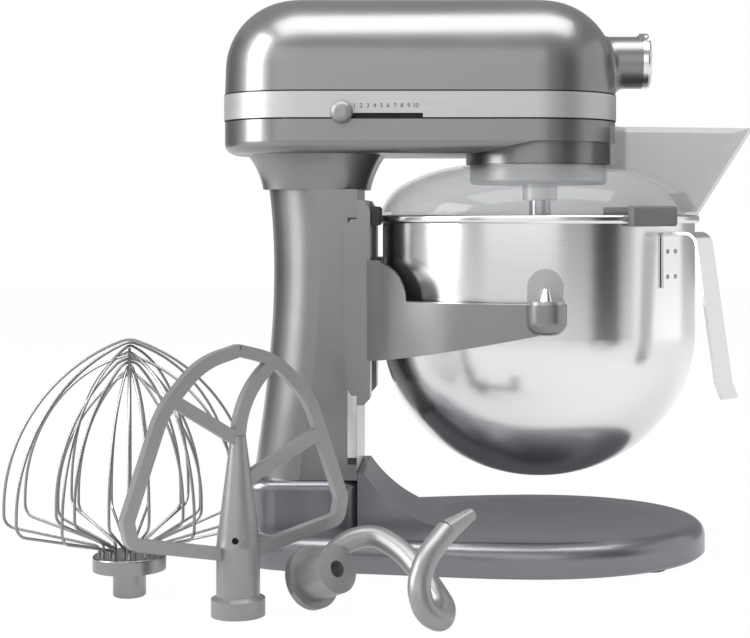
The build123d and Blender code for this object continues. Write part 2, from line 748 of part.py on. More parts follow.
hub_socket = 9.5
hub_shaft_end_x = hub_seat_x - clear_gap
with BuildPart() as hub_shaft:
    with BuildSketch(Plane.YZ.offset(bevel_face * bevel_back_x)):
        with Locations((0, hub_z)):
            Circle(hub_spigot_r)
    extrude(amount=bevel_back_x + hub_collar - bevel_face * bevel_back_x)
    with BuildSketch(Plane.YZ.offset(bevel_back_x + hub_collar)):
        with Locations((0, hub_z)):
            Circle(hub_shaft_r)
    extrude(amount=hub_shaft_end_x - bevel_back_x - hub_collar)
    with BuildSketch(Plane.YZ.offset(hub_shaft_end_x)):
        with Locations((0, hub_z)):
            Rectangle(hub_socket, hub_socket)
    extrude(amount=-14.0, mode=Mode.SUBTRACT)
write(hub_shaft, "hub_shaft")

hub_bush = sleeve(hub_bush_r, hub_shaft_r + run_gap, Plane((nose_root_x, 0, hub_z), x_dir=(0, 1, 0),
                                                           z_dir=(1, 0, 0)),
                  hub_seat_x - nose_root_x)
write(hub_bush, "hub_bush")

# Gear plate on four legs, with the motor standing on it
plate_top_z = plate_z + plate_h
motor_bearing_r = motor_shaft_r + 4.0
plate_block = head_plan(Plane.XY.offset(plate_z), band_wall + clear_gap, plate_h)
with BuildPart() as gear_plate:
    add(plate_block.part)
    with BuildSketch(Plane.XY.offset(floor_top_z)):
        with Locations(*leg_sites):
            Circle(leg_r)
    extrude(amount=plate_z - floor_top_z)
    with BuildSketch(Plane.XY.offset(plate_z)):
        Circle(bearing_r + seat_gap)
        with Locations((motor_x, 0)):
            Circle(motor_bearing_r + seat_gap)
        with Locations(((slot_rear_x + slot_front_x) / 2, guide_face_y + guide_wall - head_half_width / 2)):
            Rectangle(slot_front_x - slot_rear_x + 20.0 + 2 * seat_gap, head_half_width)
    extrude(amount=plate_h, mode=Mode.SUBTRACT)
write(gear_plate, "gear_plate")

can_wall = 2.5
can_top_z = plate_top_z + 65.0
cap_h = 4.0
magnet_r = motor_r - can_wall - seat_gap
magnet_wall = 6.0
core_r = magnet_r - magnet_wall - clear_gap
core_low_z = plate_top_z + 10.0
core_high_z = core_low_z + 34.0
commutator_r = 11.0
commutator_z = core_high_z + 5.0
commutator_h = 12.0

motor_can = sleeve(motor_r, motor_r - can_wall, Plane((motor_x, 0, plate_top_z)), can_top_z - plate_top_z)
write(motor_can, "motor_can")

motor_end_cap = sleeve(motor_r, motor_bearing_r + seat_gap, Plane((motor_x, 0, can_top_z)), cap_h)
write(motor_end_cap, "motor_end_cap")

with BuildPart() as motor_bearings:
    for z, height in ((plate_z, plate_h), (can_top_z, cap_h)):
        with BuildSketch(Plane((motor_x, 0, z))):
            Circle(motor_bearing_r)
            Circle(motor_shaft_r + run_gap, mode=Mode.SUBTRACT)
        extrude(amount=height)
write(motor_bearings, "motor_bearings")

with BuildPart() as motor_magnets:
    with BuildSketch(Plane((motor_x, 0, core_low_z))):
        Circle(magnet_r)
        Circle(magnet_r - magnet_wall, mode=Mode.SUBTRACT)
        Rectangle(2 * motor_r, 24.0, mode=Mode.SUBTRACT)
    extrude(amount=core_high_z - core_low_z)
write(motor_magnets, "motor_magnets")

with BuildPart() as brush_holders:
    with BuildSketch(Plane((motor_x, 0, commutator_z + 2.0))):
        with Locations(*[((way * (magnet_r + commutator_r + slide_gap) / 2), 0) for way in (1, -1)]):
            Rectangle(magnet_r - commutator_r - slide_gap - 2 * clear_gap, 8.0)
    extrude(amount=8.0)
write(brush_holders, "brush_holders")

with BuildPart() as rotor_shaft:
    with BuildSketch(Plane((motor_x, 0, gear_z))):
        Circle(motor_shaft_r)
    extrude(amount=can_top_z + cap_h - gear_z)
write(rotor_shaft, "rotor_shaft")

with BuildPart() as rotor_core:
    with BuildSketch(Plane((motor_x, 0, core_low_z))):
        Circle(core_r)
        Circle(motor_shaft_r + seat_gap, mode=Mode.SUBTRACT)
        with PolarLocations(core_r - 5.0, 10):
            Rectangle(12.0, 4.0, mode=Mode.SUBTRACT)
    extrude(amount=core_high_z - core_low_z)
write(rotor_core, "rotor_core")

commutator = sleeve(commutator_r, motor_shaft_r + seat_gap, Plane((motor_x, 0, commutator_z)), commutator_h)
write(commutator, "commutator")

with BuildPart() as cooling_fan:
    with BuildSketch(Plane((motor_x, 0, plate_top_z + 2.0))):
        Circle(10.0)
        with PolarLocations(core_r / 2 + 3.0, 9):
            Rectangle(core_r - 6.0, 2.0)
        Circle(motor_shaft_r + seat_gap, mode=Mode.SUBTRACT)
    extrude(amount=6.0)
write(cooling_fan, "cooling_fan")

motor_pinion = toothed_wheel(motor_teeth, gear_module, 180 / motor_teeth, Plane((motor_x, 0, gear_z)),
                             gear_width,
                             motor_shaft_r + seat_gap)
write(motor_pinion, "motor_pinion")

board_length = 84.0
board_width = 76.0
board_x = motor_x - motor_r - 8.0 - board_length / 2
board_z = plate_top_z + 10.0
with BuildPart() as control_board:
    with BuildSketch(Plane((board_x, 0, board_z))):
        Rectangle(board_length, board_width)
    extrude(amount=1.6)
    with BuildSketch(Plane((board_x, 0, plate_top_z))):
        with GridLocations(board_length - 10.0, board_width - 10.0, 2, 2):
            Circle(2.5)
    extrude(amount=board_z - plate_top_z)
    with BuildSketch(Plane((board_x, 0, board_z + 1.6))):
        with Locations((-20.0, 18.0)):
            Circle(9.0)
        with Locations((14.0, -16.0)):
            Rectangle(26.0, 20.0)
    extrude(amount=18.0)
write(control_board, "control_board")

# Bowl arm: a slide on the column, two curved arms with cups, and a slotted tab for the lift crank
slide_back_x = column_front_x + slide_gap
slide_web_x = slide_back_x + 5.1
cheek_inner_y = column_half_width + rail_depth + slide_gap
gusset_r = 28.0
arm_foot_half = 36.0
pin_reach_x = lift_x - crank_r * cos(radians(lift_swing / 2))
slot_half_h = crank_pin_r + 1.0
tab_rear_x = lift_x - crank_r - crank_pin_r - 4.0
cup_drop = 1.0
cup_round_r = 0.65 * cup_r
with BuildPart() as cup:
    with BuildSketch(Plane.XY.offset(arm_end_z - cup_drop)):
        Circle(cup_r)
    extrude(amount=arm_top_z - arm_end_z + cup_drop)
    fillet(cup.edges().group_by(Axis.Z)[0], radius=cup_round_r)

with BuildPart() as bowl_arm:
    with BuildSketch(Plane.XY.offset(arm_root_z)):
        Circle(arm_outer_r)
        Circle(arm_inner_r, mode=Mode.SUBTRACT)
        with Locations((arm_outer_r, 0)):
            Rectangle(2 * arm_outer_r, 2 * arm_outer_r, mode=Mode.SUBTRACT)
        with Locations((-arm_outer_r, 0)):
            Rectangle(arm_outer_r, 2 * arm_foot_half, mode=Mode.SUBTRACT)
    extrude(amount=arm_top_z + gusset_r - arm_root_z)
    with BuildSketch(Plane.XZ):
        with BuildLine():
            rest = Polyline((slide_front_x + gusset_r, arm_top_z), (cup_r, arm_top_z),
                            (cup_r, arm_top_z + 2 * gusset_r),
                            (slide_front_x, arm_top_z + 2 * gusset_r), (slide_front_x, arm_top_z + gusset_r))
            RadiusArc(rest @ 1, rest @ 0, gusset_r)
        make_face()
    extrude(amount=arm_outer_r + 1, both=True, mode=Mode.SUBTRACT)
    with BuildSketch(Plane.XZ):
        with BuildLine():
            Polyline((-arm_outer_r, arm_root_z), (slide_front_x, arm_root_z), (0, arm_end_z),
                     (cup_r, arm_end_z),
                     (cup_r, arm_root_z - 1), (-arm_outer_r, arm_root_z - 1), close=True)
        make_face()
    extrude(amount=arm_outer_r + 1, both=True, mode=Mode.SUBTRACT)
    with Locations((0, cup_y, 0), (0, -cup_y, 0)):
        add(cup.part)
    with BuildSketch(Plane.XZ):
        with BuildLine():
            Polyline((slide_back_x, slide_bottom_z), (slide_back_x, slide_top_z), (slide_web_x, slide_top_z),
                     (slide_front_x, slide_top_z - 8.0), (slide_front_x, slide_bottom_z + 5.0),
                     (slide_web_x, slide_bottom_z), close=True)
        make_face()
    extrude(amount=slide_half_width, both=True)
    with BuildSketch(Plane.YZ.offset(slide_web_x)):
        with Locations((0, (slide_bottom_z + slide_top_z) / 2)):
            Rectangle(2 * arm_foot_half - 10.0, slide_top_z)
    extrude(amount=slide_front_x - slide_web_x, mode=Mode.SUBTRACT)
    with BuildSketch(Plane.XZ):
        with BuildLine():
            Polyline((cheek_rear_x, cheek_bottom_z + 8.0), (cheek_rear_x, cheek_top_z - 6.0),
                     (cheek_rear_x + 5.0, cheek_top_z), (slide_web_x, cheek_top_z),
                     (slide_web_x, cheek_bottom_z),
                     (cheek_rear_x + 5.0, cheek_bottom_z), close=True)
        make_face()
    extrude(amount=slide_half_width, both=True)
    with BuildSketch(Plane.YZ.offset(cheek_rear_x - 1)):
        with Locations((0, lift_z)):
            Rectangle(2 * cheek_inner_y, slide_top_z)
    extrude(amount=slide_back_x - cheek_rear_x + 1, mode=Mode.SUBTRACT)
    with BuildSketch(Plane.XZ.offset(-tab_far_y)):
        with Locations(((tab_rear_x + slide_web_x) / 2, tab_z)):
            Rectangle(slide_web_x - tab_rear_x, 2 * tab_half_h)
        with Locations(((pin_reach_x + lift_x - crank_r) / 2, tab_z)):
            SlotOverall(pin_reach_x - lift_x + crank_r + 2 * slot_half_h, 2 * slot_half_h, mode=Mode.SUBTRACT)
    extrude(amount=tab_far_y - tab_near_y)
write(bowl_arm, "bowl_arm")

pin_base_r = 4.8
with BuildPart() as arm_pins:
    for y in (cup_y, -cup_y):
        with Locations((0, y, arm_top_z)):
            Cone(pin_base_r, 2.2, arm_pin_h, align=(Align.CENTER, Align.CENTER, Align.MIN))
write(arm_pins, "arm_pins")

# Bowl: a half-ellipse under a straight wall, with a rolled rim
ellipse_b = (bowl_knee_z - bowl_bottom_z) / sqrt(1 - (bowl_foot_r / bowl_r) ** 2)
rim_h = 6.0
wall_h = bowl_rim_z - rim_h / 2 - bowl_knee_z
with BuildPart() as bowl:
    with BuildSketch(Plane.XZ):
        with Locations((0, bowl_knee_z)):
            Ellipse(bowl_r, ellipse_b)
        with Locations((0, bowl_knee_z + wall_h / 2)):
            Rectangle(2 * bowl_r, wall_h)
        with Locations((0, bowl_knee_z)):
            Ellipse(bowl_r - bowl_wall, ellipse_b - bowl_wall, mode=Mode.SUBTRACT)
        with Locations((0, bowl_bottom_z + bowl_wall / 2)):
            Rectangle(2 * bowl_foot_r, bowl_wall)
        with Locations((0, bowl_knee_z + bowl_r)):
            Rectangle(2 * (bowl_r - bowl_wall), 2 * bowl_r, mode=Mode.SUBTRACT)
        with Locations(((bowl_rim_r + bowl_r - bowl_wall) / 2, bowl_rim_z - rim_h / 2)):
            RectangleRounded(bowl_rim_r - bowl_r + bowl_wall, rim_h, 2.2)
        with Locations((0, bowl_bottom_z - bowl_r / 2)):
            Rectangle(4 * bowl_r, bowl_r, mode=Mode.SUBTRACT)
        with Locations((-bowl_r, bowl_knee_z)):
            Rectangle(2 * bowl_r, 4 * bowl_r, mode=Mode.SUBTRACT)
    revolve(axis=Axis.Z)
write(bowl, "bowl")

bracket_width = 25.0
bracket_wall = 2.0
ledge_h = 2.3
weld_gap = 0.05
with BuildPart() as bowl_brackets:
    with BuildSketch(Plane.XZ):
        with Locations((0, arm_top_z + ledge_h + bracket_width / 4)):
            Rectangle(bracket_width, bracket_width / 2)
        with Locations((0, arm_top_z + ledge_h + bracket_width / 2 - 3.5)):
            Circle(bracket_width / 2)
        with Locations((0, arm_top_z - bracket_width / 2)):
            Rectangle(2 * bracket_width, bracket_width, mode=Mode.SUBTRACT)
    extrude(amount=bowl_rim_r, both=True)
    with BuildSketch(Plane.XY.offset(arm_top_z)):
        Circle(bowl_r + weld_gap + bracket_wall)
        Circle(bowl_r + weld_gap, mode=Mode.SUBTRACT)
    extrude(amount=2 * bracket_width, mode=Mode.INTERSECT)
    for way in (1, -1):
        with BuildSketch(Plane.XY.offset(arm_top_z)):
            with Locations((0, way * (bowl_r + cup_y) / 2)):
                Rectangle(bracket_width, cup_y - bowl_r)
            with Locations((0, way * cup_y)):
                Circle(bracket_width / 2)
                Circle(pin_base_r + clear_gap, mode=Mode.SUBTRACT)
            Circle(bowl_r + weld_gap, mode=Mode.SUBTRACT)
        extrude(amount=ledge_h)
write(bowl_brackets, "bowl_brackets")

handle_angle = -40.0
handle_width = 21.0
handle_wall = 2.0
handle_low_z = 205.0
handle_top_z = 244.0
handle_reach = 146.0
handle_end_r = 163.0
handle_end_z = 140.0
weld_r = bowl_r + weld_gap + handle_wall / 2


def radial_plane(angle):
    """An upright plane through the bowl axis: local x runs outwards and local y upwards."""
    return Plane((0, 0, 0), x_dir=(cos(radians(angle)), sin(radians(angle)), 0),
                 z_dir=(sin(radians(angle)), -cos(radians(angle)), 0))


with BuildPart() as bowl_handle:
    with BuildSketch(radial_plane(handle_angle)):
        with BuildLine():
            FilletPolyline((weld_r, handle_low_z), (weld_r, handle_top_z), (handle_reach, handle_top_z),
                           (handle_end_r, handle_end_z), (handle_end_r + 5.0, handle_end_z - 11.0),
                           radius=(4.0, 9.0, 12.0))
        trace(line_width=handle_wall)
    extrude(amount=handle_width / 2, both=True)
write(bowl_handle, "bowl_handle")

stud_z = 209.0
stud_r = 4.5
with BuildPart() as bowl_stud:
    with BuildSketch(Plane((-bowl_r - weld_gap, 0, stud_z), x_dir=(0, 1, 0), z_dir=(-1, 0, 0))):
        Circle(stud_r)
    extrude(amount=5.5)
    fillet(bowl_stud.edges().group_by(Axis.X)[0], radius=2.5)
write(bowl_stud, "bowl_stud")

spring_wall = 0.8
with BuildPart() as latch_spring:
    with BuildSketch(Plane.XZ):
        with BuildLine():
            FilletPolyline((slide_web_x + spring_wall / 2, stud_z - 26.0),
                           (slide_web_x + spring_wall / 2, stud_z - 12.0),
                           (slide_web_x + 3.4, stud_z + 3.0), (slide_web_x + 1.6, stud_z + 15.0), radius=5.0)
        trace(line_width=spring_wall)
    extrude(amount=6.0, both=True)
write(latch_spring, "latch_spring")

# Pouring shield: a clear dome over the rim, a chute in front and three rubber grips
flange_z = bowl_rim_z + 0.2
flange_inner_r = bowl_r - 6.5
lip_r = bowl_r - bowl_wall - clear_gap
lip_low_z = bowl_rim_z - 9.0
crown_arc = TangentArc((shield_mouth_r, shield_top_z - shield_wall / 2), (bowl_r - 17.0, shield_top_z - 14.5),
                       tangent=(1, -0.1))
shoulder_arc = TangentArc(crown_arc @ 1, (bowl_r + 0.6, flange_z + shield_wall / 2), tangent=crown_arc % 1)


def outward(curve, share, distance):
    """A point beside a curve of the dome, the given distance outside it."""
    along = curve % share
    return curve @ share + Vector(-along.Y, along.X) * distance


with BuildPart() as under_dome:
    with BuildSketch(Plane.XZ):
        with BuildLine():
            skin = shield_wall / 2 + weld_gap
            crown = TangentArc(outward(crown_arc, 0, skin), outward(crown_arc, 1, skin),
                               tangent=crown_arc % 0)
            shoulder = TangentArc(crown @ 1, outward(shoulder_arc, 1, skin), tangent=crown % 1)
            foot_z = flange_z + shield_wall + weld_gap
            Polyline(shoulder @ 1, ((shoulder @ 1).X, foot_z), (2 * bowl_r, foot_z), (2 * bowl_r, 0), (0, 0),
                     (0, shield_top_z), crown @ 0)
        make_face()
    revolve(axis=Axis.Z)
    with BuildSketch(Plane.XY):
        Circle(2 * bowl_r)
    extrude(amount=foot_z)


chute_foot_x = bowl_r - 2.0
chute_tip_z = chute_top_z - 2.0
chute_slope = (chute_tip_x - chute_foot_x) / (chute_tip_z - flange_z)


def chute_block(inset, over):
    """The outside of the chute, or its open inside when an inset is given."""
    with BuildPart() as block:
        with BuildSketch(Plane.XZ):
            with BuildLine():
                front_x = chute_foot_x - 1.2 * inset
                Polyline((0, lip_low_z), (0, chute_top_z + over),
                         (front_x + chute_slope * (chute_tip_z + over - flange_z), chute_tip_z + over),
                         (front_x, flange_z), (front_x, lip_low_z), close=True)
            make_face()
        extrude(amount=chute_half_width - inset, both=True)
        with BuildSketch(Plane.XY):
            Circle(chute_back_r + inset)
        extrude(amount=2 * chute_top_z, mode=Mode.SUBTRACT)
    return block


chute_outside = chute_block(0.0, 0.0)
chute_inside = chute_block(shield_wall, 8.0)
with BuildPart() as shield_chute:
    add(chute_outside.part)
    add(chute_inside.part, mode=Mode.SUBTRACT)
    add(under_dome.part, mode=Mode.SUBTRACT)
write(shield_chute, "shield_chute")

with BuildPart() as chute_mouth:
    add(chute_inside.part)
    with BuildSketch(Plane.XY):
        Circle(flange_inner_r - 1.0)
    extrude(amount=2 * chute_top_z, mode=Mode.INTERSECT)

with BuildPart() as pouring_shield:
    with BuildSketch(Plane.XZ):
        with BuildLine():
            add([crown_arc, shoulder_arc])
        trace(line_width=shield_wall)
        with Locations(((flange_inner_r + bowl_rim_r) / 2, flange_z + shield_wall / 2)):
            Rectangle(bowl_rim_r - flange_inner_r, shield_wall)
        with Locations((lip_r - shield_wall / 2, (lip_low_z + flange_z) / 2 + shield_wall / 2)):
            Rectangle(shield_wall, flange_z - lip_low_z + shield_wall)
    revolve(axis=Axis.Z)
    add(chute_mouth.part, mode=Mode.SUBTRACT)
write(pouring_shield, "pouring_shield")

grip_depth = 7.5
grip_low_z = bowl_rim_z - 8.0
grip_h = 14.5
grip_arc = degrees(grip_width / bowl_rim_r)
with BuildPart() as shield_grips:
    for angle in (-grip_angle, grip_angle, 180.0):
        with BuildSketch(radial_plane(angle - grip_arc / 2)):
            with Locations((bowl_rim_r + 2 * weld_gap + grip_depth / 2, grip_low_z + grip_h / 2)):
                RectangleRounded(grip_depth, grip_h, 2.5)
        revolve(axis=Axis.Z, revolution_arc=grip_arc)
write(shield_grips, "shield_grips")

# Lift lever on the far side, with its shaft through the column and the crank inside
crank_near_y = 0.5
crank_wall = 6.0
lever_y = column_half_width + bush_flange + slide_gap
lever_wall = 8.0
pin_rise_z = lift_z + crank_r * sin(radians(lift_swing / 2))
with BuildPart() as lift_shaft:
    with BuildSketch(Plane.XZ.offset(-crank_near_y)):
        with Locations((lift_x, lift_z)):
            Circle(lift_shaft_r)
    extrude(amount=crank_near_y - lever_y - lever_wall)
    with BuildSketch(Plane.XZ.offset(-crank_near_y)):
        with BuildLine():
            Line((lift_x, lift_z), (pin_reach_x, pin_rise_z))
        trace(line_width=2 * lift_shaft_r)
        with Locations((lift_x, lift_z)):
            Circle(lift_shaft_r + 2.0)
        with Locations((pin_reach_x, pin_rise_z)):
            Circle(lift_shaft_r)
    extrude(amount=-crank_wall)
    with BuildSketch(Plane.XZ.offset(-crank_near_y)):
        with Locations((pin_reach_x, pin_rise_z)):
            Circle(crank_pin_r)
    extrude(amount=crank_near_y - tab_near_y + 1.5)
write(lift_shaft, "lift_shaft")

grip_len = 30.0
lever_top_z = lift_z + lever_length
with BuildPart() as lift_lever:
    with BuildSketch(Plane.XZ.offset(-lever_y)):
        with BuildLine():
            Polyline((lift_x - 7.5, lift_z), (lift_x - 4.5, lever_top_z - 3.0),
                     (lift_x + 4.5, lever_top_z - 3.0),
                     (lift_x + 7.5, lift_z), close=True)
        make_face()
        with Locations((lift_x, lift_z)):
            Circle(12.0)
            Circle(lift_shaft_r + seat_gap, mode=Mode.SUBTRACT)
    extrude(amount=-lever_wall)
write(lift_lever, "lift_lever")

with BuildPart() as lift_grip:
    with BuildSketch(Plane((lift_x, lever_y + lever_wall / 2, lever_top_z - grip_len))):
        RectangleRounded(17.0, lever_wall + 3.0, 5.0)
    extrude(amount=grip_len)
    fillet(lift_grip.edges().group_by(Axis.Z)[-1], radius=4.0)
    with BuildSketch(Plane.XZ.offset(-lever_y + seat_gap)):
        with BuildLine():
            Polyline((lift_x - 7.6, lift_z), (lift_x - 4.6, lever_top_z - 2.9),
                     (lift_x + 4.6, lever_top_z - 2.9),
                     (lift_x + 7.6, lift_z), close=True)
        make_face()
    extrude(amount=-lever_wall - 2 * seat_gap, mode=Mode.SUBTRACT)
write(lift_grip, "lift_grip")

# Wire whisk standing on its collar: crossing loops over a disc
whisk_collar_r = 11.0
whisk_collar_h = 18.0
whisk_disc_r = 24.5
whisk_disc_h = 10.0
loop_count = 6
loop_step = wire_d + 0.3
apex_r = 14.0
disc_top_z = whisk_collar_h + whisk_disc_h
with BuildPart() as whisk_hub:
    with BuildSketch(Plane((whisk_x, whisk_y, 0))):
        Circle(whisk_collar_r)
    extrude(amount=whisk_collar_h)
    chamfer(whisk_hub.edges().group_by(Axis.Z)[0], length=1.0)
    with BuildSketch(Plane((whisk_x, whisk_y, whisk_collar_h))):
        Circle(whisk_disc_r)
    extrude(amount=whisk_disc_h)
    fillet(whisk_hub.edges().group_by(Axis.Z)[-1], radius=1.5)
    with BuildSketch(Plane((whisk_x, whisk_y, 0))):
        Circle(whisk_collar_r - 3.0)
    extrude(amount=whisk_collar_h, mode=Mode.SUBTRACT)
write(whisk_hub, "whisk_hub")


def whisk_loop(turn, root_r, side_r, bend_z, apex_z):
    """One wire loop in an upright plane: out from the disc, round a bend and over a tight apex."""
    across = Vector(cos(radians(whisk_turn + turn)), sin(radians(whisk_turn + turn)), 0)
    plane = Plane((whisk_x, whisk_y, 0), x_dir=across, z_dir=across.cross(Vector(0, 0, 1)))
    side_z = bend_z + 11.0
    cap_drop = apex_z - apex_r - side_z
    arc_r = (side_r**2 + cap_drop**2 - apex_r**2) / (2 * (side_r - apex_r))
    lean = atan2(cap_drop, arc_r - side_r)
    cap_x, cap_z = apex_r * cos(lean), apex_z - apex_r + apex_r * sin(lean)
    mid_x, mid_z = side_r - arc_r + arc_r * cos(lean / 2), side_z + arc_r * sin(lean / 2)
    with BuildPart() as loop:
        with BuildLine(plane):
            for way in (1, -1):
                FilletPolyline((way * root_r, disc_top_z), (way * root_r, disc_top_z + 6.0),
                               (way * side_r, bend_z),
                               (way * side_r, side_z), radius=(4.0, 9.0))
                ThreePointArc((way * side_r, side_z), (way * mid_x, mid_z), (way * cap_x, cap_z))
            ThreePointArc((cap_x, cap_z), (0, apex_z), (-cap_x, cap_z))
        with BuildSketch(Plane(plane.from_local_coords((root_r, disc_top_z, 0)))):
            RegularPolygon(wire_d / 2, 6)
        sweep()
    return loop


outer_loops = [whisk_loop(180 / loop_count * k, whisk_disc_r - 4.5, whisk_r, disc_top_z + 22.0,
                          whisk_top_z - loop_step * k)
               for k in range(loop_count)]
inner_loops = [whisk_loop(180 / loop_count * (k + 0.5), whisk_disc_r - 11.5, 0.6 * whisk_r, disc_top_z + 25.0,
                          whisk_top_z - loop_step * (k + loop_count)) for k in range(loop_count)]
with BuildPart() as centre_wire:
    with BuildSketch(Plane((whisk_x, whisk_y, disc_top_z))):
        RegularPolygon(wire_d / 2, 6)
    extrude(amount=whisk_top_z - 2 * loop_count * loop_step - disc_top_z)
# The wires only pass each other, so they stay a plain group of solids
whisk_wires = Compound([wire.part.solid() for wire in outer_loops + inner_loops + [centre_wire]])
whisk_wires.label = "whisk_wires"
export_step(whisk_wires, "parts/whisk_wires.step")

# Flat beater standing on its collar, turned towards the viewer
beater_bar = 8.0
beater_thick = 7.0
beater_collar_r = 17.4
beater_collar_h = 11.0
beater_stem_r = 14.0
beater_stem_top_z = 115.0
beater_hole_r = 2.2
beater_bore_r = 7.0
beater_along = Vector(cos(radians(beater_turn)), sin(radians(beater_turn)), 0)
beater_plane = Plane((beater_x, beater_y, 0), x_dir=beater_along, z_dir=beater_along.cross(Vector(0, 0, 1)))
with BuildPart() as flat_beater:
    with BuildSketch(beater_plane):
        for way in (1, -1):
            with BuildLine():
                FilletPolyline((0, 38.0), (way * 74.0, 54.0), (way * 77.0, 68.0), (way * 53.0, 135.0),
                               (way * 27.0, 163.0),
                               (0, beater_top_z - beater_bar / 2), radius=(7.0, 9.0, 60.0, 50.0))
            trace(line_width=beater_bar)
        with BuildLine():
            Line((-45.0, 140.0), (0, 112.0))
        trace(line_width=beater_bar)
        with BuildLine():
            Line((62.0, 114.0), (0, 84.0))
        trace(line_width=beater_bar)
        with BuildLine():
            ThreePointArc((0, beater_stem_top_z - 6.0), (5.0, 137.0), (25.0, 161.0))
        trace(line_width=beater_bar)
    extrude(amount=beater_thick / 2, both=True)
    with BuildSketch(beater_plane):
        with BuildLine():
            Polyline((0, 0), (beater_collar_r, 0), (beater_collar_r, beater_collar_h),
                     (beater_stem_r, beater_collar_h + 2.0),
                     (beater_stem_r, 45.0), (beater_bar / 2 + 1.0, beater_stem_top_z),
                     (0, beater_stem_top_z), close=True)
        make_face()
    revolve(axis=Axis((beater_x, beater_y, 0), (0, 0, 1)))
    with BuildSketch(Plane((beater_x, beater_y, 0))):
        Circle(beater_bore_r)
    extrude(amount=40.0, mode=Mode.SUBTRACT)
    with BuildSketch(Plane((beater_x, beater_y, 50.0), x_dir=(1, 0, 0), z_dir=(0, -1, 0))):
        Circle(beater_hole_r)
    extrude(amount=2 * beater_stem_r, mode=Mode.SUBTRACT)
write(flat_beater, "flat_beater")

# Dough hook lying on its flange and on the bottom of its loop
hook_flange_r = 20.5
hook_flange_h = 5.0
hook_collar_r = 15.8
hook_collar_h = 23.0
hook_bore_r = 5.5
hook_seat = Vector(-156.4, -180.0, 19.6)
hook_axis = Vector(0.69, -0.63, 0.37)
hook_route = [(-150.0, -183.0, 27.0), (-133.0, -176.0, 44.0), (-114.0, -177.0, 48.0), (-95.0, -193.0, 40.0),
              (-78.0, -214.0, 25.0), (-67.0, -233.0, 12.5), (-69.5, -246.5, 8.0), (-79.5, -252.5, 15.0),
              (-84.0, -250.5, 30.5), (-79.0, -240.5, 46.5), (-66.5, -225.5, 59.5)]
hook_tip = Vector(-50.0, -210.0, 68.0)
hook_tip_r = 3.8


def bend_radii(points):
    """For each inner point, an arc that takes up nearly half of the shorter of its two runs."""
    radii = []
    for before, at, after in zip(points, points[1:], points[2:]):
        first, second = Vector(*at) - Vector(*before), Vector(*after) - Vector(*at)
        half_turn = radians(first.get_angle(second)) / 2
        radii.append(0.45 * min(first.length, second.length) / tan(half_turn))
    return radii


hook_plane = Plane(hook_seat, z_dir=hook_axis)
tip_plane = Plane(Vector(*hook_route[-1]), z_dir=hook_tip - Vector(*hook_route[-1]))
with BuildPart() as dough_hook:
    with BuildLine() as hook_line:
        FilletPolyline(*hook_route, radius=bend_radii(hook_route))
    with BuildSketch(Plane(hook_line.line @ 0, z_dir=hook_line.line % 0)):
        Circle(hook_rod_r)
    sweep()
    with BuildSketch(tip_plane):
        Circle(hook_rod_r)
    with BuildSketch(tip_plane.offset((hook_tip - Vector(*hook_route[-1])).length)):
        Circle(hook_tip_r)
    loft()
    fillet(dough_hook.edges().filter_by(GeomType.CIRCLE).sort_by_distance(hook_tip)[0],
           radius=0.6 * hook_tip_r)
    with BuildSketch(hook_plane):
        Circle(hook_flange_r)
    extrude(amount=hook_flange_h)
    with BuildSketch(hook_plane):
        Circle(hook_collar_r)
    extrude(amount=hook_flange_h + hook_collar_h)
    with BuildSketch(hook_plane):
        Circle(hook_bore_r)
    extrude(amount=hook_flange_h + hook_collar_h, mode=Mode.SUBTRACT)
write(dough_hook, "dough_hook")
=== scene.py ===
"""Looks of a bowl-lift stand mixer, laid out as an add-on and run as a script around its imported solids."""

import json
from math import atan2, cos, pi, radians, sin

import bpy
from bpy.props import FloatProperty, FloatVectorProperty, IntProperty, PointerProperty
from mathutils import Matrix, Vector


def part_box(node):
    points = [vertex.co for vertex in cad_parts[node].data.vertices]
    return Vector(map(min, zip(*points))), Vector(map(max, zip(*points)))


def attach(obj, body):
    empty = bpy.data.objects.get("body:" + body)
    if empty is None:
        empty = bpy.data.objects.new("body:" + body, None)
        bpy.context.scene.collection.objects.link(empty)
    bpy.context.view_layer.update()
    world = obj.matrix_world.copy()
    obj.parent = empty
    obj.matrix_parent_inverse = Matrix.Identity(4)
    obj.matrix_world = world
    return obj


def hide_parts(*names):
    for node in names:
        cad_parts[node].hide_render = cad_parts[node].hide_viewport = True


bl_info = {
    "name": "Stand mixer looks",
    "version": (1, 0, 0),
    "blender": (4, 5, 0),
    "location": "View3D > Sidebar > Mixer",
    "description": "Finishes, small fittings and a plain stage for a bowl-lift stand mixer",
    "category": "Object",
}

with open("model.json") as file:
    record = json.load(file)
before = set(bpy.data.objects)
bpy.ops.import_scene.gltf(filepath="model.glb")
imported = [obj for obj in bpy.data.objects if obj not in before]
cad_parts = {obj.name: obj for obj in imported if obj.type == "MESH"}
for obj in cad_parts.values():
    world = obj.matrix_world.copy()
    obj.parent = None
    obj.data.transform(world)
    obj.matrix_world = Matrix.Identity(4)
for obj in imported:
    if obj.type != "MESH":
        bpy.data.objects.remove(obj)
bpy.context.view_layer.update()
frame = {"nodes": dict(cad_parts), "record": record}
MM = 0.001
PHOTO_WIDTH, PHOTO_HEIGHT = 750, 638

# Camera of the photograph: its place, and its focal length and centre in pixels
CAMERA_PLACE = (-0.052, -1.25, 0.257)
CAMERA_FOCAL = 1640.0
CAMERA_CENTRE = (470.0, 215.0)
SENSOR_WIDTH = 36.0

# The whisk's loops stand turned, so that the flat beater can be lifted past them
WHISK_TURN = radians(11.3)
WHISK_REACH = 82.0

# Plate of the bowl handle, with its welds set out across it and up it, in mm
WELD_ANGLE = radians(-40.0)
WELD_PLATE_R = 120.35
WELD_ACROSS = (-5.0, 5.0)
WELD_HEIGHTS = (213.0, 231.0)

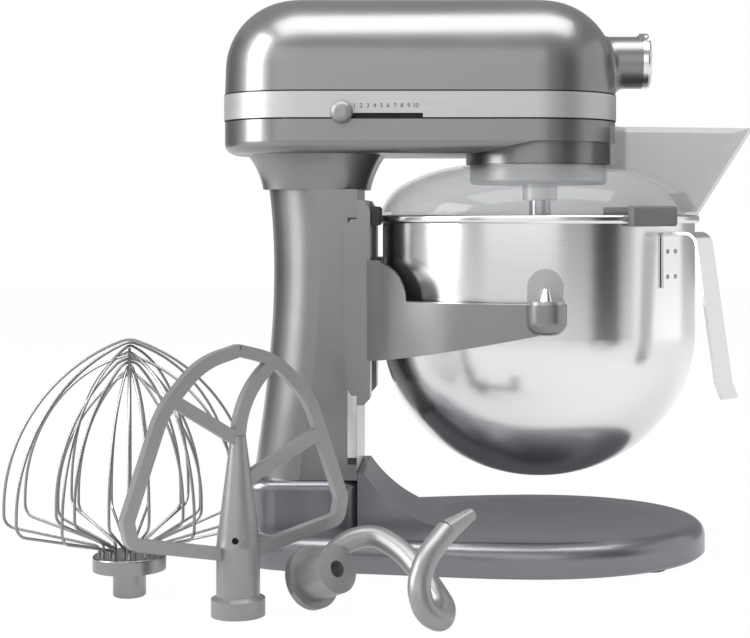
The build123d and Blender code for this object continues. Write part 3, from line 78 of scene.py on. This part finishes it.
# Pivot of the lift lever in mm, seen from its side, and the row of speed figures in metres
LEVER_PIVOT = (-158.0, 190.0)
FIGURE_START, FIGURE_STEP, FIGURE_Z = -0.1355, 4.9 * MM, 0.3347


class Shade:
    """A socket that can stand in a Python expression, each step of which adds a Math node."""

    def __init__(self, finish, socket):
        self.finish = finish
        self.socket = socket

    def maths(self, operation, *values):
        return self.finish.node("ShaderNodeMath", {"operation": operation}, dict(enumerate(values)))

    def __add__(self, other):
        return self.maths("ADD", self, other)

    def __sub__(self, other):
        return self.maths("SUBTRACT", self, other)

    def __rsub__(self, other):
        return self.maths("SUBTRACT", other, self)

    def __mul__(self, other):
        return self.maths("MULTIPLY", self, other)

    def __gt__(self, other):
        return self.maths("GREATER_THAN", self, other)

    def __abs__(self):
        return self.maths("ABSOLUTE", self)

    __radd__ = __add__
    __rmul__ = __mul__


class Finish:
    """One procedural material on Object coordinates, with a Principled surface."""

    def __init__(self, name):
        self.material = bpy.data.materials.new(name)
        self.material.use_nodes = True
        self.tree = self.material.node_tree
        self.tree.nodes.clear()

    def feed(self, socket, value):
        if isinstance(value, Shade):
            self.tree.links.new(value.socket, socket)
        else:
            socket.default_value = value

    def node(self, kind, settings=None, sockets=None, out=0):
        node = self.tree.nodes.new(kind)
        for key, value in (settings or {}).items():
            setattr(node, key, value)
        for key, value in (sockets or {}).items():
            self.feed(node.inputs[key], value)
        return Shade(self, node.outputs[out]) if node.outputs else None

    def place(self, stretch=(1.0, 1.0, 1.0)):
        spot = self.node("ShaderNodeTexCoord", out="Object")
        return self.node("ShaderNodeMapping", None, {"Vector": spot, "Scale": stretch})

    def axis(self, letter):
        spot = self.node("ShaderNodeTexCoord", out="Object")
        return self.node("ShaderNodeSeparateXYZ", None, {0: spot}, out=letter)

    def noise(self, scale, detail=2.0, stretch=(1.0, 1.0, 1.0)):
        sockets = {"Vector": self.place(stretch), "Scale": scale, "Detail": detail}
        return self.node("ShaderNodeTexNoise", None, sockets)

    def blend(self, share, first, second):
        sockets = {"Factor": share, 6: first, 7: second}
        return self.node("ShaderNodeMix", {"data_type": "RGBA"}, sockets, out=2)

    def bump(self, height, strength, depth):
        sockets = {"Strength": strength, "Distance": depth, "Height": height}
        return self.node("ShaderNodeBump", None, sockets)

    def surface(self, **sockets):
        named = {key.replace("_", " "): value for key, value in sockets.items()}
        shader = self.node("ShaderNodeBsdfPrincipled", None, named)
        self.node("ShaderNodeOutputMaterial", None, {"Surface": shader})
        return self.material


def tint(colour, gain):
    """A colour made lighter or darker, with its alpha."""
    return tuple(min(1.0, part * gain) for part in colour[:3]) + (1.0,)


def flake_paint(name, colour):
    """Metallic enamel: fine bright flakes under a clear coat, with faint orange peel."""
    paint = Finish(name)
    flakes = paint.noise(2600.0, 1.0)
    drift = paint.noise(26.0, 3.0)
    peel = paint.noise(420.0, 2.0)
    shade = paint.blend(flakes * 0.75 + drift * 0.25, tint(colour, 0.82), tint(colour, 1.2))
    return paint.surface(Base_Color=shade, Metallic=0.78, Roughness=0.25 + drift * 0.12, Coat_Weight=0.3,
                         Coat_Roughness=0.08, Normal=paint.bump(peel, 0.05, 0.2 * MM))


def band_metal(name, colour):
    """Satin trim with lines drawn along the head, and painted seam shadow: dark strips along its two edges.
    """
    band = Finish(name)
    low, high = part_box("trim_band")
    lines = band.noise(900.0, 2.0, (0.02, 0.02, 1.0))
    from_middle = abs(band.axis("Z") - (low.z + high.z) / 2)
    # Painted shade: a thin strip at the top and bottom edges is tinted dark and made rougher, standing in
    # for the shadow in the seams between the band and the head
    seam_shade = from_middle > (high.z - low.z) / 2 - 0.45 * MM
    face = band.blend(lines, tint(colour, 0.9), tint(colour, 1.08))
    shade = band.blend(seam_shade, face, tint(colour, 0.2))
    return band.surface(Base_Color=shade, Metallic=0.55, Roughness=0.32 + lines * 0.12 + seam_shade * 0.3,
                        Normal=band.bump(lines, 0.05, 0.1 * MM))


def spun_steel(name, colour, rough):
    """Polished sheet spun on a lathe: faint lines at one height run right round the bowl."""
    steel = Finish(name)
    lines = steel.noise(1500.0, 2.0, (0.03, 0.03, 1.0))
    smears = steel.noise(14.0, 3.0, (1.0, 1.0, 0.35))
    shade = steel.blend(lines * 0.6 + smears * 0.4, tint(colour, 0.92), tint(colour, 1.06))
    return steel.surface(Base_Color=shade, Metallic=1.0, Roughness=rough + lines * 0.05 + smears * 0.05,
                         Normal=steel.bump(lines, 0.03, 0.05 * MM))


def bright_metal(name, colour, rough):
    """Polished or plated metal with handling marks that only change its gloss."""
    metal = Finish(name)
    smears = metal.noise(45.0, 4.0)
    scratches = metal.noise(320.0, 2.0, (1.0, 0.2, 1.0))
    shade = metal.blend(smears, tint(colour, 0.9), tint(colour, 1.08))
    return metal.surface(Base_Color=shade, Metallic=1.0, Roughness=rough + smears * 0.08 + scratches * 0.03,
                         Normal=metal.bump(scratches, 0.03, 0.05 * MM))


def clear_plastic(name, colour, alpha):
    """Clear moulded plastic, a little hazier where food and hands have been."""
    plastic = Finish(name)
    haze = plastic.noise(9.0, 3.0)
    ripple = plastic.noise(60.0, 2.0)
    shade = plastic.blend(haze, tint(colour, 0.93), tint(colour, 1.04))
    return plastic.surface(Base_Color=shade, Roughness=0.04 + haze * 0.05, Alpha=alpha - 0.05 + haze * 0.1,
                           Normal=plastic.bump(ripple, 0.04, 0.1 * MM))


def moulded(name, colour, rough, grain, depth):
    """Moulded rubber or plastic with an even grain and slight patches of wear."""
    skin = Finish(name)
    pebbles = skin.noise(grain, 2.0)
    wear = skin.noise(35.0, 3.0)
    shade = skin.blend(wear, tint(colour, 0.85), tint(colour, 1.2))
    return skin.surface(Base_Color=shade, Roughness=rough + wear * 0.12,
                        Normal=skin.bump(pebbles, 0.35, depth))


def burnished(name, colour, metal, rough, grain):
    """Cast alloy under a smooth grey coat, with the soft unevenness of the casting."""
    coat = Finish(name)
    cast = coat.noise(grain, 3.0)
    drift = coat.noise(22.0, 3.0)
    shade = coat.blend(cast * 0.4 + drift * 0.6, tint(colour, 0.84), tint(colour, 1.16))
    return coat.surface(Base_Color=shade, Metallic=metal, Roughness=rough + drift * 0.12,
                        Normal=coat.bump(cast, 0.12, 0.12 * MM))


def circuit_board(name, colour):
    """Green lacquer with paler copper tracks on a grid."""
    board = Finish(name)
    tracks = board.node("ShaderNodeTexBrick", {"offset": 0.5},
                        {"Vector": board.place(), "Scale": 160.0, "Mortar Size": 0.05}, out="Fac")
    shade = board.blend(tracks, tint(colour, 1.0), tint(colour, 1.9))
    return board.surface(Base_Color=shade, Roughness=0.4 - tracks * 0.1)


def colour_setting(name, about, default):
    return FloatVectorProperty(name=name, description=about, subtype="COLOR", size=3, min=0.0, max=1.0,
                               default=default)


def length_setting(name, about, default):
    return FloatProperty(name=name, description=about, subtype="DISTANCE", unit="LENGTH",
                         default=default * MM)


class MixerColours(bpy.types.PropertyGroup):
    """Colours of the finishes."""

    body: colour_setting("Body", "Enamel on the head, the column and the arm", (0.225, 0.225, 0.23))
    base: colour_setting("Base", "Enamel on the base", (0.215, 0.21, 0.23))
    band: colour_setting("Band", "Trim band round the head", (0.45, 0.45, 0.45))
    steel: colour_setting("Steel", "Bowl and bright fittings", (0.78, 0.78, 0.78))
    coat: colour_setting("Tools", "Coat of the flat beater and the dough hook", (0.29, 0.29, 0.29))
    rubber: colour_setting("Rubber", "Grips and feet", (0.13, 0.13, 0.13))
    shield: colour_setting("Shield", "Clear plastic of the pouring shield", (0.3, 0.31, 0.32))
    shield_alpha: FloatProperty(name="Shield cover", subtype="FACTOR", min=0.0, max=1.0, default=0.3,
                                description="How much of the light the shield holds back")


class MixerSizes(bpy.types.PropertyGroup):
    """Sizes of the small fittings."""

    wire_radius: length_setting("Wire radius", "Half the thickness of a whisk wire", 0.95)
    loops: IntProperty(name="Loops", description="Wire loops in each ring of the whisk", default=6)
    weld_radius: length_setting("Weld radius", "Spot welds that hold the bowl handle", 1.7)
    figure_height: length_setting("Figure height", "Numbers of the speed scale", 4.4)
    screw_radius: length_setting("Screw radius", "Head of the screw in the lift lever", 5.0)


# Solids whose own part of the surface is duller than the rest of their slot
DULLED = {"bowl_brackets": "machined_steel", "whisk_hub": "wire_steel"}


def finishes(looks):
    """The finish of each material slot of the record."""
    steel = looks.steel
    return {
        "body_paint": flake_paint("head enamel", looks.body),
        "base_paint": flake_paint("base enamel", looks.base),
        "band_metal": band_metal("trim band satin", looks.band),
        "knob_metal": burnished("speed knob satin", tint(looks.band, 0.6), 0.6, 0.4, 500.0),
        "planet_metal": burnished("planetary alloy", tint(looks.band, 1.5), 0.7, 0.35, 300.0),
        "bowl_steel": spun_steel("bowl steel", steel, 0.16),
        "bright_steel": bright_metal("bright fittings", steel, 0.16),
        "wire_steel": bright_metal("whisk wire", tint(steel, 0.4), 0.24),
        "clear_plastic": clear_plastic("shield plastic", looks.shield, looks.shield_alpha),
        "grip_rubber": moulded("grip rubber", looks.rubber, 0.6, 900.0, 0.2 * MM),
        "tool_coat": burnished("beater coat", looks.coat, 0.6, 0.3, 260.0),
        "black_plastic": moulded("black plastic", (0.02, 0.02, 0.02), 0.45, 1200.0, 0.1 * MM),
        "machined_steel": bright_metal("machined steel", tint(steel, 0.55), 0.3),
        "cast_alloy": burnished("cast alloy", tint(steel, 0.7), 0.85, 0.45, 500.0),
        "bronze": bright_metal("bronze bush", (0.62, 0.38, 0.2), 0.3),
        "magnet": moulded("ferrite", (0.04, 0.04, 0.045), 0.55, 700.0, 0.1 * MM),
        "board": circuit_board("circuit board", (0.03, 0.16, 0.06)),
    }


def coat(slot):
    """The finish made for a slot."""
    return bpy.data.materials[coat.names[slot]]


coat.names = {}


def alone(piece):
    """Selects one object and nothing else."""
    bpy.ops.object.select_all(action="DESELECT")
    piece.select_set(True)
    bpy.context.view_layer.objects.active = piece


def settle(piece, name, body, slot):
    """Names a finished piece, gives it its finish and makes it ride."""
    alone(piece)
    bpy.ops.object.transform_apply(location=True, rotation=True, scale=True)
    piece.name = name
    piece.data.materials.clear()
    piece.data.materials.append(coat(slot))
    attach(piece, body)
    return piece


def join(pieces):
    """One object out of several meshes."""
    alone(pieces[0])
    for piece in pieces:
        piece.select_set(True)
    bpy.ops.object.join()
    return bpy.context.view_layer.objects.active


class MIXER_OT_finishes(bpy.types.Operator):
    """Gives every solid the finish of its material slot"""

    bl_idname = "mixer.finishes"
    bl_label = "Finishes"

    def execute(self, context):
        made = finishes(context.scene.mixer_colours)
        coat.names = {slot: material.name for slot, material in made.items()}
        for part in frame["record"]["subparts"]:
            solid = frame["nodes"][part["node"]]
            solid.data.materials.clear()
            solid.data.materials.append(made[DULLED.get(part["node"], part["material_slot"])])
        return {"FINISHED"}


def arc(middle, radius, start, end, steps):
    """Points on a circle in the plane of a loop, both ends among them."""
    turns = [start + (end - start) * k / steps for k in range(steps + 1)]
    return [(middle[0] + radius * cos(turn), middle[1] + radius * sin(turn)) for turn in turns]


def rounded(before, corner, after, radius, steps=5):
    """The points that round a corner of a bent wire."""
    first = Vector(before) - Vector(corner)
    second = Vector(after) - Vector(corner)
    half = first.angle(second) / 2
    inward = (first.normalized() + second.normalized()).normalized()
    middle = Vector(corner) + inward * (radius / sin(half))
    spread = pi / 2 - half
    back = (-inward).to_2d()
    lean = atan2(back.y, back.x)
    side = 1 if first.cross(second) < 0 else -1
    return arc(middle, radius, lean - side * spread, lean + side * spread, steps)


def half_loop(root_r, side_r, bend_z, apex_z, disc_z):
    """One half of a whisk loop, in mm, from the disc up to the top on the axis."""
    tip_r = 14.0
    side_z = bend_z + 11.0
    drop = apex_z - tip_r - side_z
    sweep_r = (side_r**2 + drop**2 - tip_r**2) / (2 * (side_r - tip_r))
    lean = atan2(drop, sweep_r - side_r)
    foot, knee = (root_r, disc_z + 6.0), (side_r, bend_z)
    points = [(root_r, disc_z - 0.5)]
    points += rounded(points[0], foot, knee, 4.0)
    points += rounded(foot, knee, (side_r, side_z), 9.0)
    points += arc((side_r - sweep_r, side_z), sweep_r, 0.0, lean, 24)
    points += arc((0.0, apex_z - tip_r), tip_r, lean, pi / 2, 8)[1:]
    return points


class MIXER_OT_whisk_wires(bpy.types.Operator):
    """Bends the round wires of the whisk: two rings of loops and a straight middle wire"""

    bl_idname = "mixer.whisk_wires"
    bl_label = "Whisk wires"

    def wire(self, points, turn, radius):
        """A round wire through points of an upright plane on the whisk axis."""
        curve = bpy.data.curves.new("wire", "CURVE")
        curve.dimensions = "3D"
        curve.bevel_depth = radius
        curve.bevel_resolution = 3
        curve.use_fill_caps = True
        line = curve.splines.new("POLY")
        line.points.add(len(points) - 1)
        for spot, (out, up) in zip(line.points, points):
            spot.co = (*(self.axis + Vector((out * cos(turn), out * sin(turn), up)) * MM), 1.0)
        piece = bpy.data.objects.new("wire", curve)
        bpy.context.collection.objects.link(piece)
        return piece

    def execute(self, context):
        sizes = context.scene.mixer_sizes
        low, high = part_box("whisk_hub")
        cage_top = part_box("whisk_wires")[1].z
        self.axis = Vector(((low.x + high.x) / 2, (low.y + high.y) / 2, 0.0))
        disc_z, radius = high.z / MM, sizes.wire_radius
        top_z = (cage_top - radius) / MM
        disc_r = (high.x - low.x) / 2 / MM
        step = 2 * radius / MM + 0.3
        wires = []
        for ring, (root_r, side_r, bend_z) in enumerate(((disc_r - 4.5, WHISK_REACH, disc_z + 22.0),
                                                         (disc_r - 11.5, 0.6 * WHISK_REACH, disc_z + 25.0))):
            for k in range(sizes.loops):
                up = half_loop(root_r, side_r, bend_z, top_z - step * (k + ring * sizes.loops), disc_z)
                over = up + [(-out, z) for out, z in reversed(up[:-1])]
                wires.append(self.wire(over, WHISK_TURN + pi / sizes.loops * (k + ring / 2), radius))
        wires.append(self.wire([(0.0, disc_z - 0.5), (0.0, top_z - step * 2 * sizes.loops)], 0.0, radius))
        alone(wires[0])
        for piece in wires:
            piece.select_set(True)
        bpy.ops.object.convert(target="MESH")
        cage = join(wires)
        bpy.ops.object.shade_smooth_by_angle(angle=radians(60))
        settle(cage, "round_whisk_wires", "whisk", "wire_steel")
        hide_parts("whisk_wires")
        return {"FINISHED"}


def dished_button(radius, height, dish, matrix):
    """A small round head with a dished top, standing along local Z at a place."""
    bpy.ops.object.select_all(action="DESELECT")
    bpy.ops.mesh.primitive_circle_add(vertices=28, radius=radius, fill_type="NGON")
    piece = bpy.context.active_object
    bpy.ops.object.mode_set(mode="EDIT")
    bpy.ops.mesh.select_all(action="SELECT")
    bpy.ops.mesh.extrude_region_move(TRANSFORM_OT_translate={"value": (0, 0, height * 0.7)})
    bpy.ops.mesh.inset(thickness=radius * 0.18, depth=height * 0.3)
    bpy.ops.mesh.inset(thickness=radius * 0.3, depth=0.0)
    bpy.ops.mesh.inset(thickness=radius * 0.12, depth=-dish)
    bpy.ops.mesh.select_all(action="SELECT")
    bpy.ops.mesh.normals_make_consistent(inside=False)
    bpy.ops.object.mode_set(mode="OBJECT")
    bpy.ops.object.shade_smooth_by_angle(angle=radians(35))
    piece.matrix_world = matrix
    alone(piece)
    bpy.ops.object.transform_apply(location=True, rotation=True, scale=True)
    return piece


def facing(place, out):
    """A place whose local Z points outwards."""
    return Matrix.Translation(place) @ Vector(out).to_track_quat("Z", "Y").to_matrix().to_4x4()


class MIXER_OT_spot_welds(bpy.types.Operator):
    """Sets the four spot welds on the plate of the bowl handle"""

    bl_idname = "mixer.spot_welds"
    bl_label = "Spot welds"

    def execute(self, context):
        radius = context.scene.mixer_sizes.weld_radius
        out = Vector((cos(WELD_ANGLE), sin(WELD_ANGLE), 0.0))
        across = Vector((-sin(WELD_ANGLE), cos(WELD_ANGLE), 0.0))
        welds = []
        for side in WELD_ACROSS:
            for z in WELD_HEIGHTS:
                spot = out * WELD_PLATE_R * MM + across * side * MM + Vector((0.0, 0.0, z * MM))
                welds.append(dished_button(radius, 0.4 * MM, 0.3 * MM, facing(spot, out)))
        settle(join(welds), "handle_spot_welds", "bowl_lift", "wire_steel")
        return {"FINISHED"}


class MIXER_OT_lever_screw(bpy.types.Operator):
    """Sets the screw that holds the lift lever on its shaft"""

    bl_idname = "mixer.lever_screw"
    bl_label = "Lever screw"

    def execute(self, context):
        radius = context.scene.mixer_sizes.screw_radius
        outer_y = max(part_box(node)[1].y for node in ("lift_lever", "lift_shaft"))
        pivot = Vector((LEVER_PIVOT[0] * MM, outer_y - 0.1 * MM, LEVER_PIVOT[1] * MM))
        head = dished_button(radius, 1.6 * MM, 0.9 * MM, facing(pivot, (0.0, 1.0, 0.0)))
        settle(head, "lever_screw", "lift_handle", "machined_steel")
        return {"FINISHED"}


class MIXER_OT_speed_figures(bpy.types.Operator):
    """Prints the plain numbers 1 to 10 above the slot of the speed lever"""

    bl_idname = "mixer.speed_figures"
    bl_label = "Speed figures"

    def execute(self, context):
        height = context.scene.mixer_sizes.figure_height
        face_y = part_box("trim_band")[0].y
        figures = []
        for k in range(10):
            bpy.ops.object.select_all(action="DESELECT")
            bpy.ops.object.text_add()
            figure = bpy.context.active_object
            figure.data.body = str(k + 1)
            figure.data.size = height
            figure.data.align_x = "CENTER"
            figure.data.extrude = 0.05 * MM
            alone(figure)
            bpy.ops.object.convert(target="MESH")
            figure = bpy.context.active_object
            figure.matrix_world = (
                Matrix.Translation((FIGURE_START + k * FIGURE_STEP, face_y - 0.04 * MM, FIGURE_Z))
                @ Matrix.Rotation(pi / 2, 4, "X"))
            alone(figure)
            bpy.ops.object.transform_apply(location=True, rotation=True, scale=True)
            figures.append(figure)
        settle(join(figures), "speed_figures", "mixer_body", "black_plastic")
        return {"FINISHED"}


def stage_finish(name, colour, glow):
    """A stage surface that keeps its shadow and glows where the camera sees it."""
    made = Finish(name)
    looks = {"Color": colour, "Roughness": 0.9}
    lit = made.node("ShaderNodeBsdfDiffuse", None, looks)
    light = made.node("ShaderNodeEmission", None, {"Color": (1.0, 1.0, 1.0, 1.0), "Strength": 1.0})
    rays = [made.node("ShaderNodeLightPath", out=kind) for kind in
            ("Is Camera Ray", "Is Transmission Ray", "Is Glossy Ray")]
    seen = rays[0].maths("MAXIMUM", rays[0], rays[1].maths("MAXIMUM", rays[1], rays[2] * 0.65))
    mixed = made.node("ShaderNodeMixShader", None, {0: seen * glow, 1: lit, 2: light})
    made.node("ShaderNodeOutputMaterial", None, {"Surface": mixed})
    return made.material


# Soft lamps: name, place, size and power
LAMPS = (
    ("left_box", (-1.45, -0.45, 0.85), (0.7, 1.3), 26.0),
    ("top_box", (0.0, -0.25, 1.4), (1.6, 0.7), 17.5),
    ("front_box", (-0.6, -2.3, 1.0), (2.6, 1.6), 14.5),
    ("right_box", (1.35, 0.1, 0.55), (1.5, 1.1), 3.2),
)

# Dark cards that only reflections see: name, place, target and size
STAGE_MIDDLE = (-0.05, 0.0, 0.22)
CARDS = (
    ("front_card", (0.92, -0.92, 0.3), STAGE_MIDDLE, (0.48, 1.3)),
    ("back_card", (-1.3, 0.7, 0.3), STAGE_MIDDLE, (0.8, 1.4)),
)


class MIXER_OT_stage(bpy.types.Operator):
    """Sets a pale floor, soft lamps, dark reflection cards and the camera"""

    bl_idname = "mixer.stage"
    bl_label = "Stage"

    def sky(self):
        world = bpy.data.worlds.new("studio")
        bpy.context.scene.world = world
        world.use_nodes = True
        nodes, links = world.node_tree.nodes, world.node_tree.links
        ground = nodes["Background"]
        ground.inputs["Color"].default_value = (0.95, 0.97, 1.0, 1.0)
        ground.inputs["Strength"].default_value = 0.36
        shown = nodes.new("ShaderNodeBackground")
        shown.inputs["Color"].default_value = (1.0, 1.0, 1.0, 1.0)
        rays = nodes.new("ShaderNodeLightPath")
        seen = nodes.new("ShaderNodeMath")
        seen.operation = "MAXIMUM"
        links.new(rays.outputs["Is Camera Ray"], seen.inputs[0])
        links.new(rays.outputs["Is Transmission Ray"], seen.inputs[1])
        mixed = nodes.new("ShaderNodeMixShader")
        links.new(seen.outputs[0], mixed.inputs[0])
        links.new(ground.outputs[0], mixed.inputs[1])
        links.new(shown.outputs[0], mixed.inputs[2])
        links.new(mixed.outputs[0], nodes["World Output"].inputs["Surface"])

    def lamp(self, name, place, size, power):
        aim = (Vector(STAGE_MIDDLE) - Vector(place)).to_track_quat("-Z", "Y").to_euler()
        bpy.ops.object.light_add(type="AREA", location=place, rotation=aim)
        lamp = bpy.context.active_object
        lamp.name = name
        lamp.data.shape = "RECTANGLE"
        lamp.data.size, lamp.data.size_y = size
        lamp.data.energy = power

    def card(self, name, place, target, size):
        """A dark card that only reflections see."""
        aim = (Vector(target) - Vector(place)).to_track_quat("Z", "Y").to_euler()
        bpy.ops.mesh.primitive_plane_add(size=1.0, location=place, rotation=aim)
        card = bpy.context.active_object
        card.name = name
        card.scale = (*size, 1.0)
        bpy.ops.object.transform_apply(location=False, rotation=False, scale=True)
        dark = Finish(name)
        shade = dark.node("ShaderNodeBsdfDiffuse", None, {"Color": (0.015, 0.015, 0.016, 1.0)})
        dark.node("ShaderNodeOutputMaterial", None, {"Surface": shade})
        card.data.materials.append(dark.material)
        card.visible_camera = False
        card.visible_diffuse = False
        card.visible_shadow = False
        card.visible_transmission = False

    def execute(self, context):
        scene = context.scene
        scene.view_settings.view_transform = "Standard"
        bpy.ops.object.select_all(action="DESELECT")
        bpy.ops.mesh.primitive_plane_add(size=9.0, location=(0.0, 0.0, -0.0004))
        floor = bpy.context.active_object
        floor.name = "floor"
        floor.data.materials.append(stage_finish("floor", (0.82, 0.82, 0.82, 1.0), 0.985))
        self.sky()
        for name, place, size, power in LAMPS:
            self.lamp(name, place, size, power)
        for row in CARDS:
            self.card(*row)
        bpy.ops.object.camera_add(location=CAMERA_PLACE, rotation=(pi / 2, 0.0, 0.0))
        camera = bpy.context.active_object
        camera.data.sensor_width = SENSOR_WIDTH
        camera.data.lens = SENSOR_WIDTH * CAMERA_FOCAL / PHOTO_WIDTH
        camera.data.shift_x = (PHOTO_WIDTH / 2 - CAMERA_CENTRE[0]) / PHOTO_WIDTH
        camera.data.shift_y = (CAMERA_CENTRE[1] - PHOTO_HEIGHT / 2) / PHOTO_WIDTH
        scene.camera = camera
        return {"FINISHED"}


OPERATORS = (MIXER_OT_stage, MIXER_OT_finishes, MIXER_OT_whisk_wires, MIXER_OT_spot_welds,
             MIXER_OT_lever_screw, MIXER_OT_speed_figures)


class MIXER_PT_looks(bpy.types.Panel):
    """Lists the settings and the steps"""

    bl_idname = "MIXER_PT_looks"
    bl_label = "Stand mixer"
    bl_space_type = "VIEW_3D"
    bl_region_type = "UI"
    bl_category = "Mixer"

    def draw(self, context):
        for group in (context.scene.mixer_colours, context.scene.mixer_sizes):
            for name in group.bl_rna.properties.keys():
                if name not in ("rna_type", "name"):
                    self.layout.prop(group, name)
        for step in OPERATORS:
            self.layout.operator(step.bl_idname)


CLASSES = (MixerColours, MixerSizes, *OPERATORS, MIXER_PT_looks)


def register():
    for made in CLASSES:
        bpy.utils.register_class(made)
    bpy.types.Scene.mixer_colours = PointerProperty(type=MixerColours)
    bpy.types.Scene.mixer_sizes = PointerProperty(type=MixerSizes)


def unregister():
    del bpy.types.Scene.mixer_sizes
    del bpy.types.Scene.mixer_colours
    for made in reversed(CLASSES):
        bpy.utils.unregister_class(made)


def main():
    register()
    bpy.ops.mixer.stage()
    bpy.ops.mixer.finishes()
    bpy.ops.mixer.whisk_wires()
    bpy.ops.mixer.spot_welds()
    bpy.ops.mixer.lever_screw()
    bpy.ops.mixer.speed_figures()


if __name__ == "__main__":
    main()
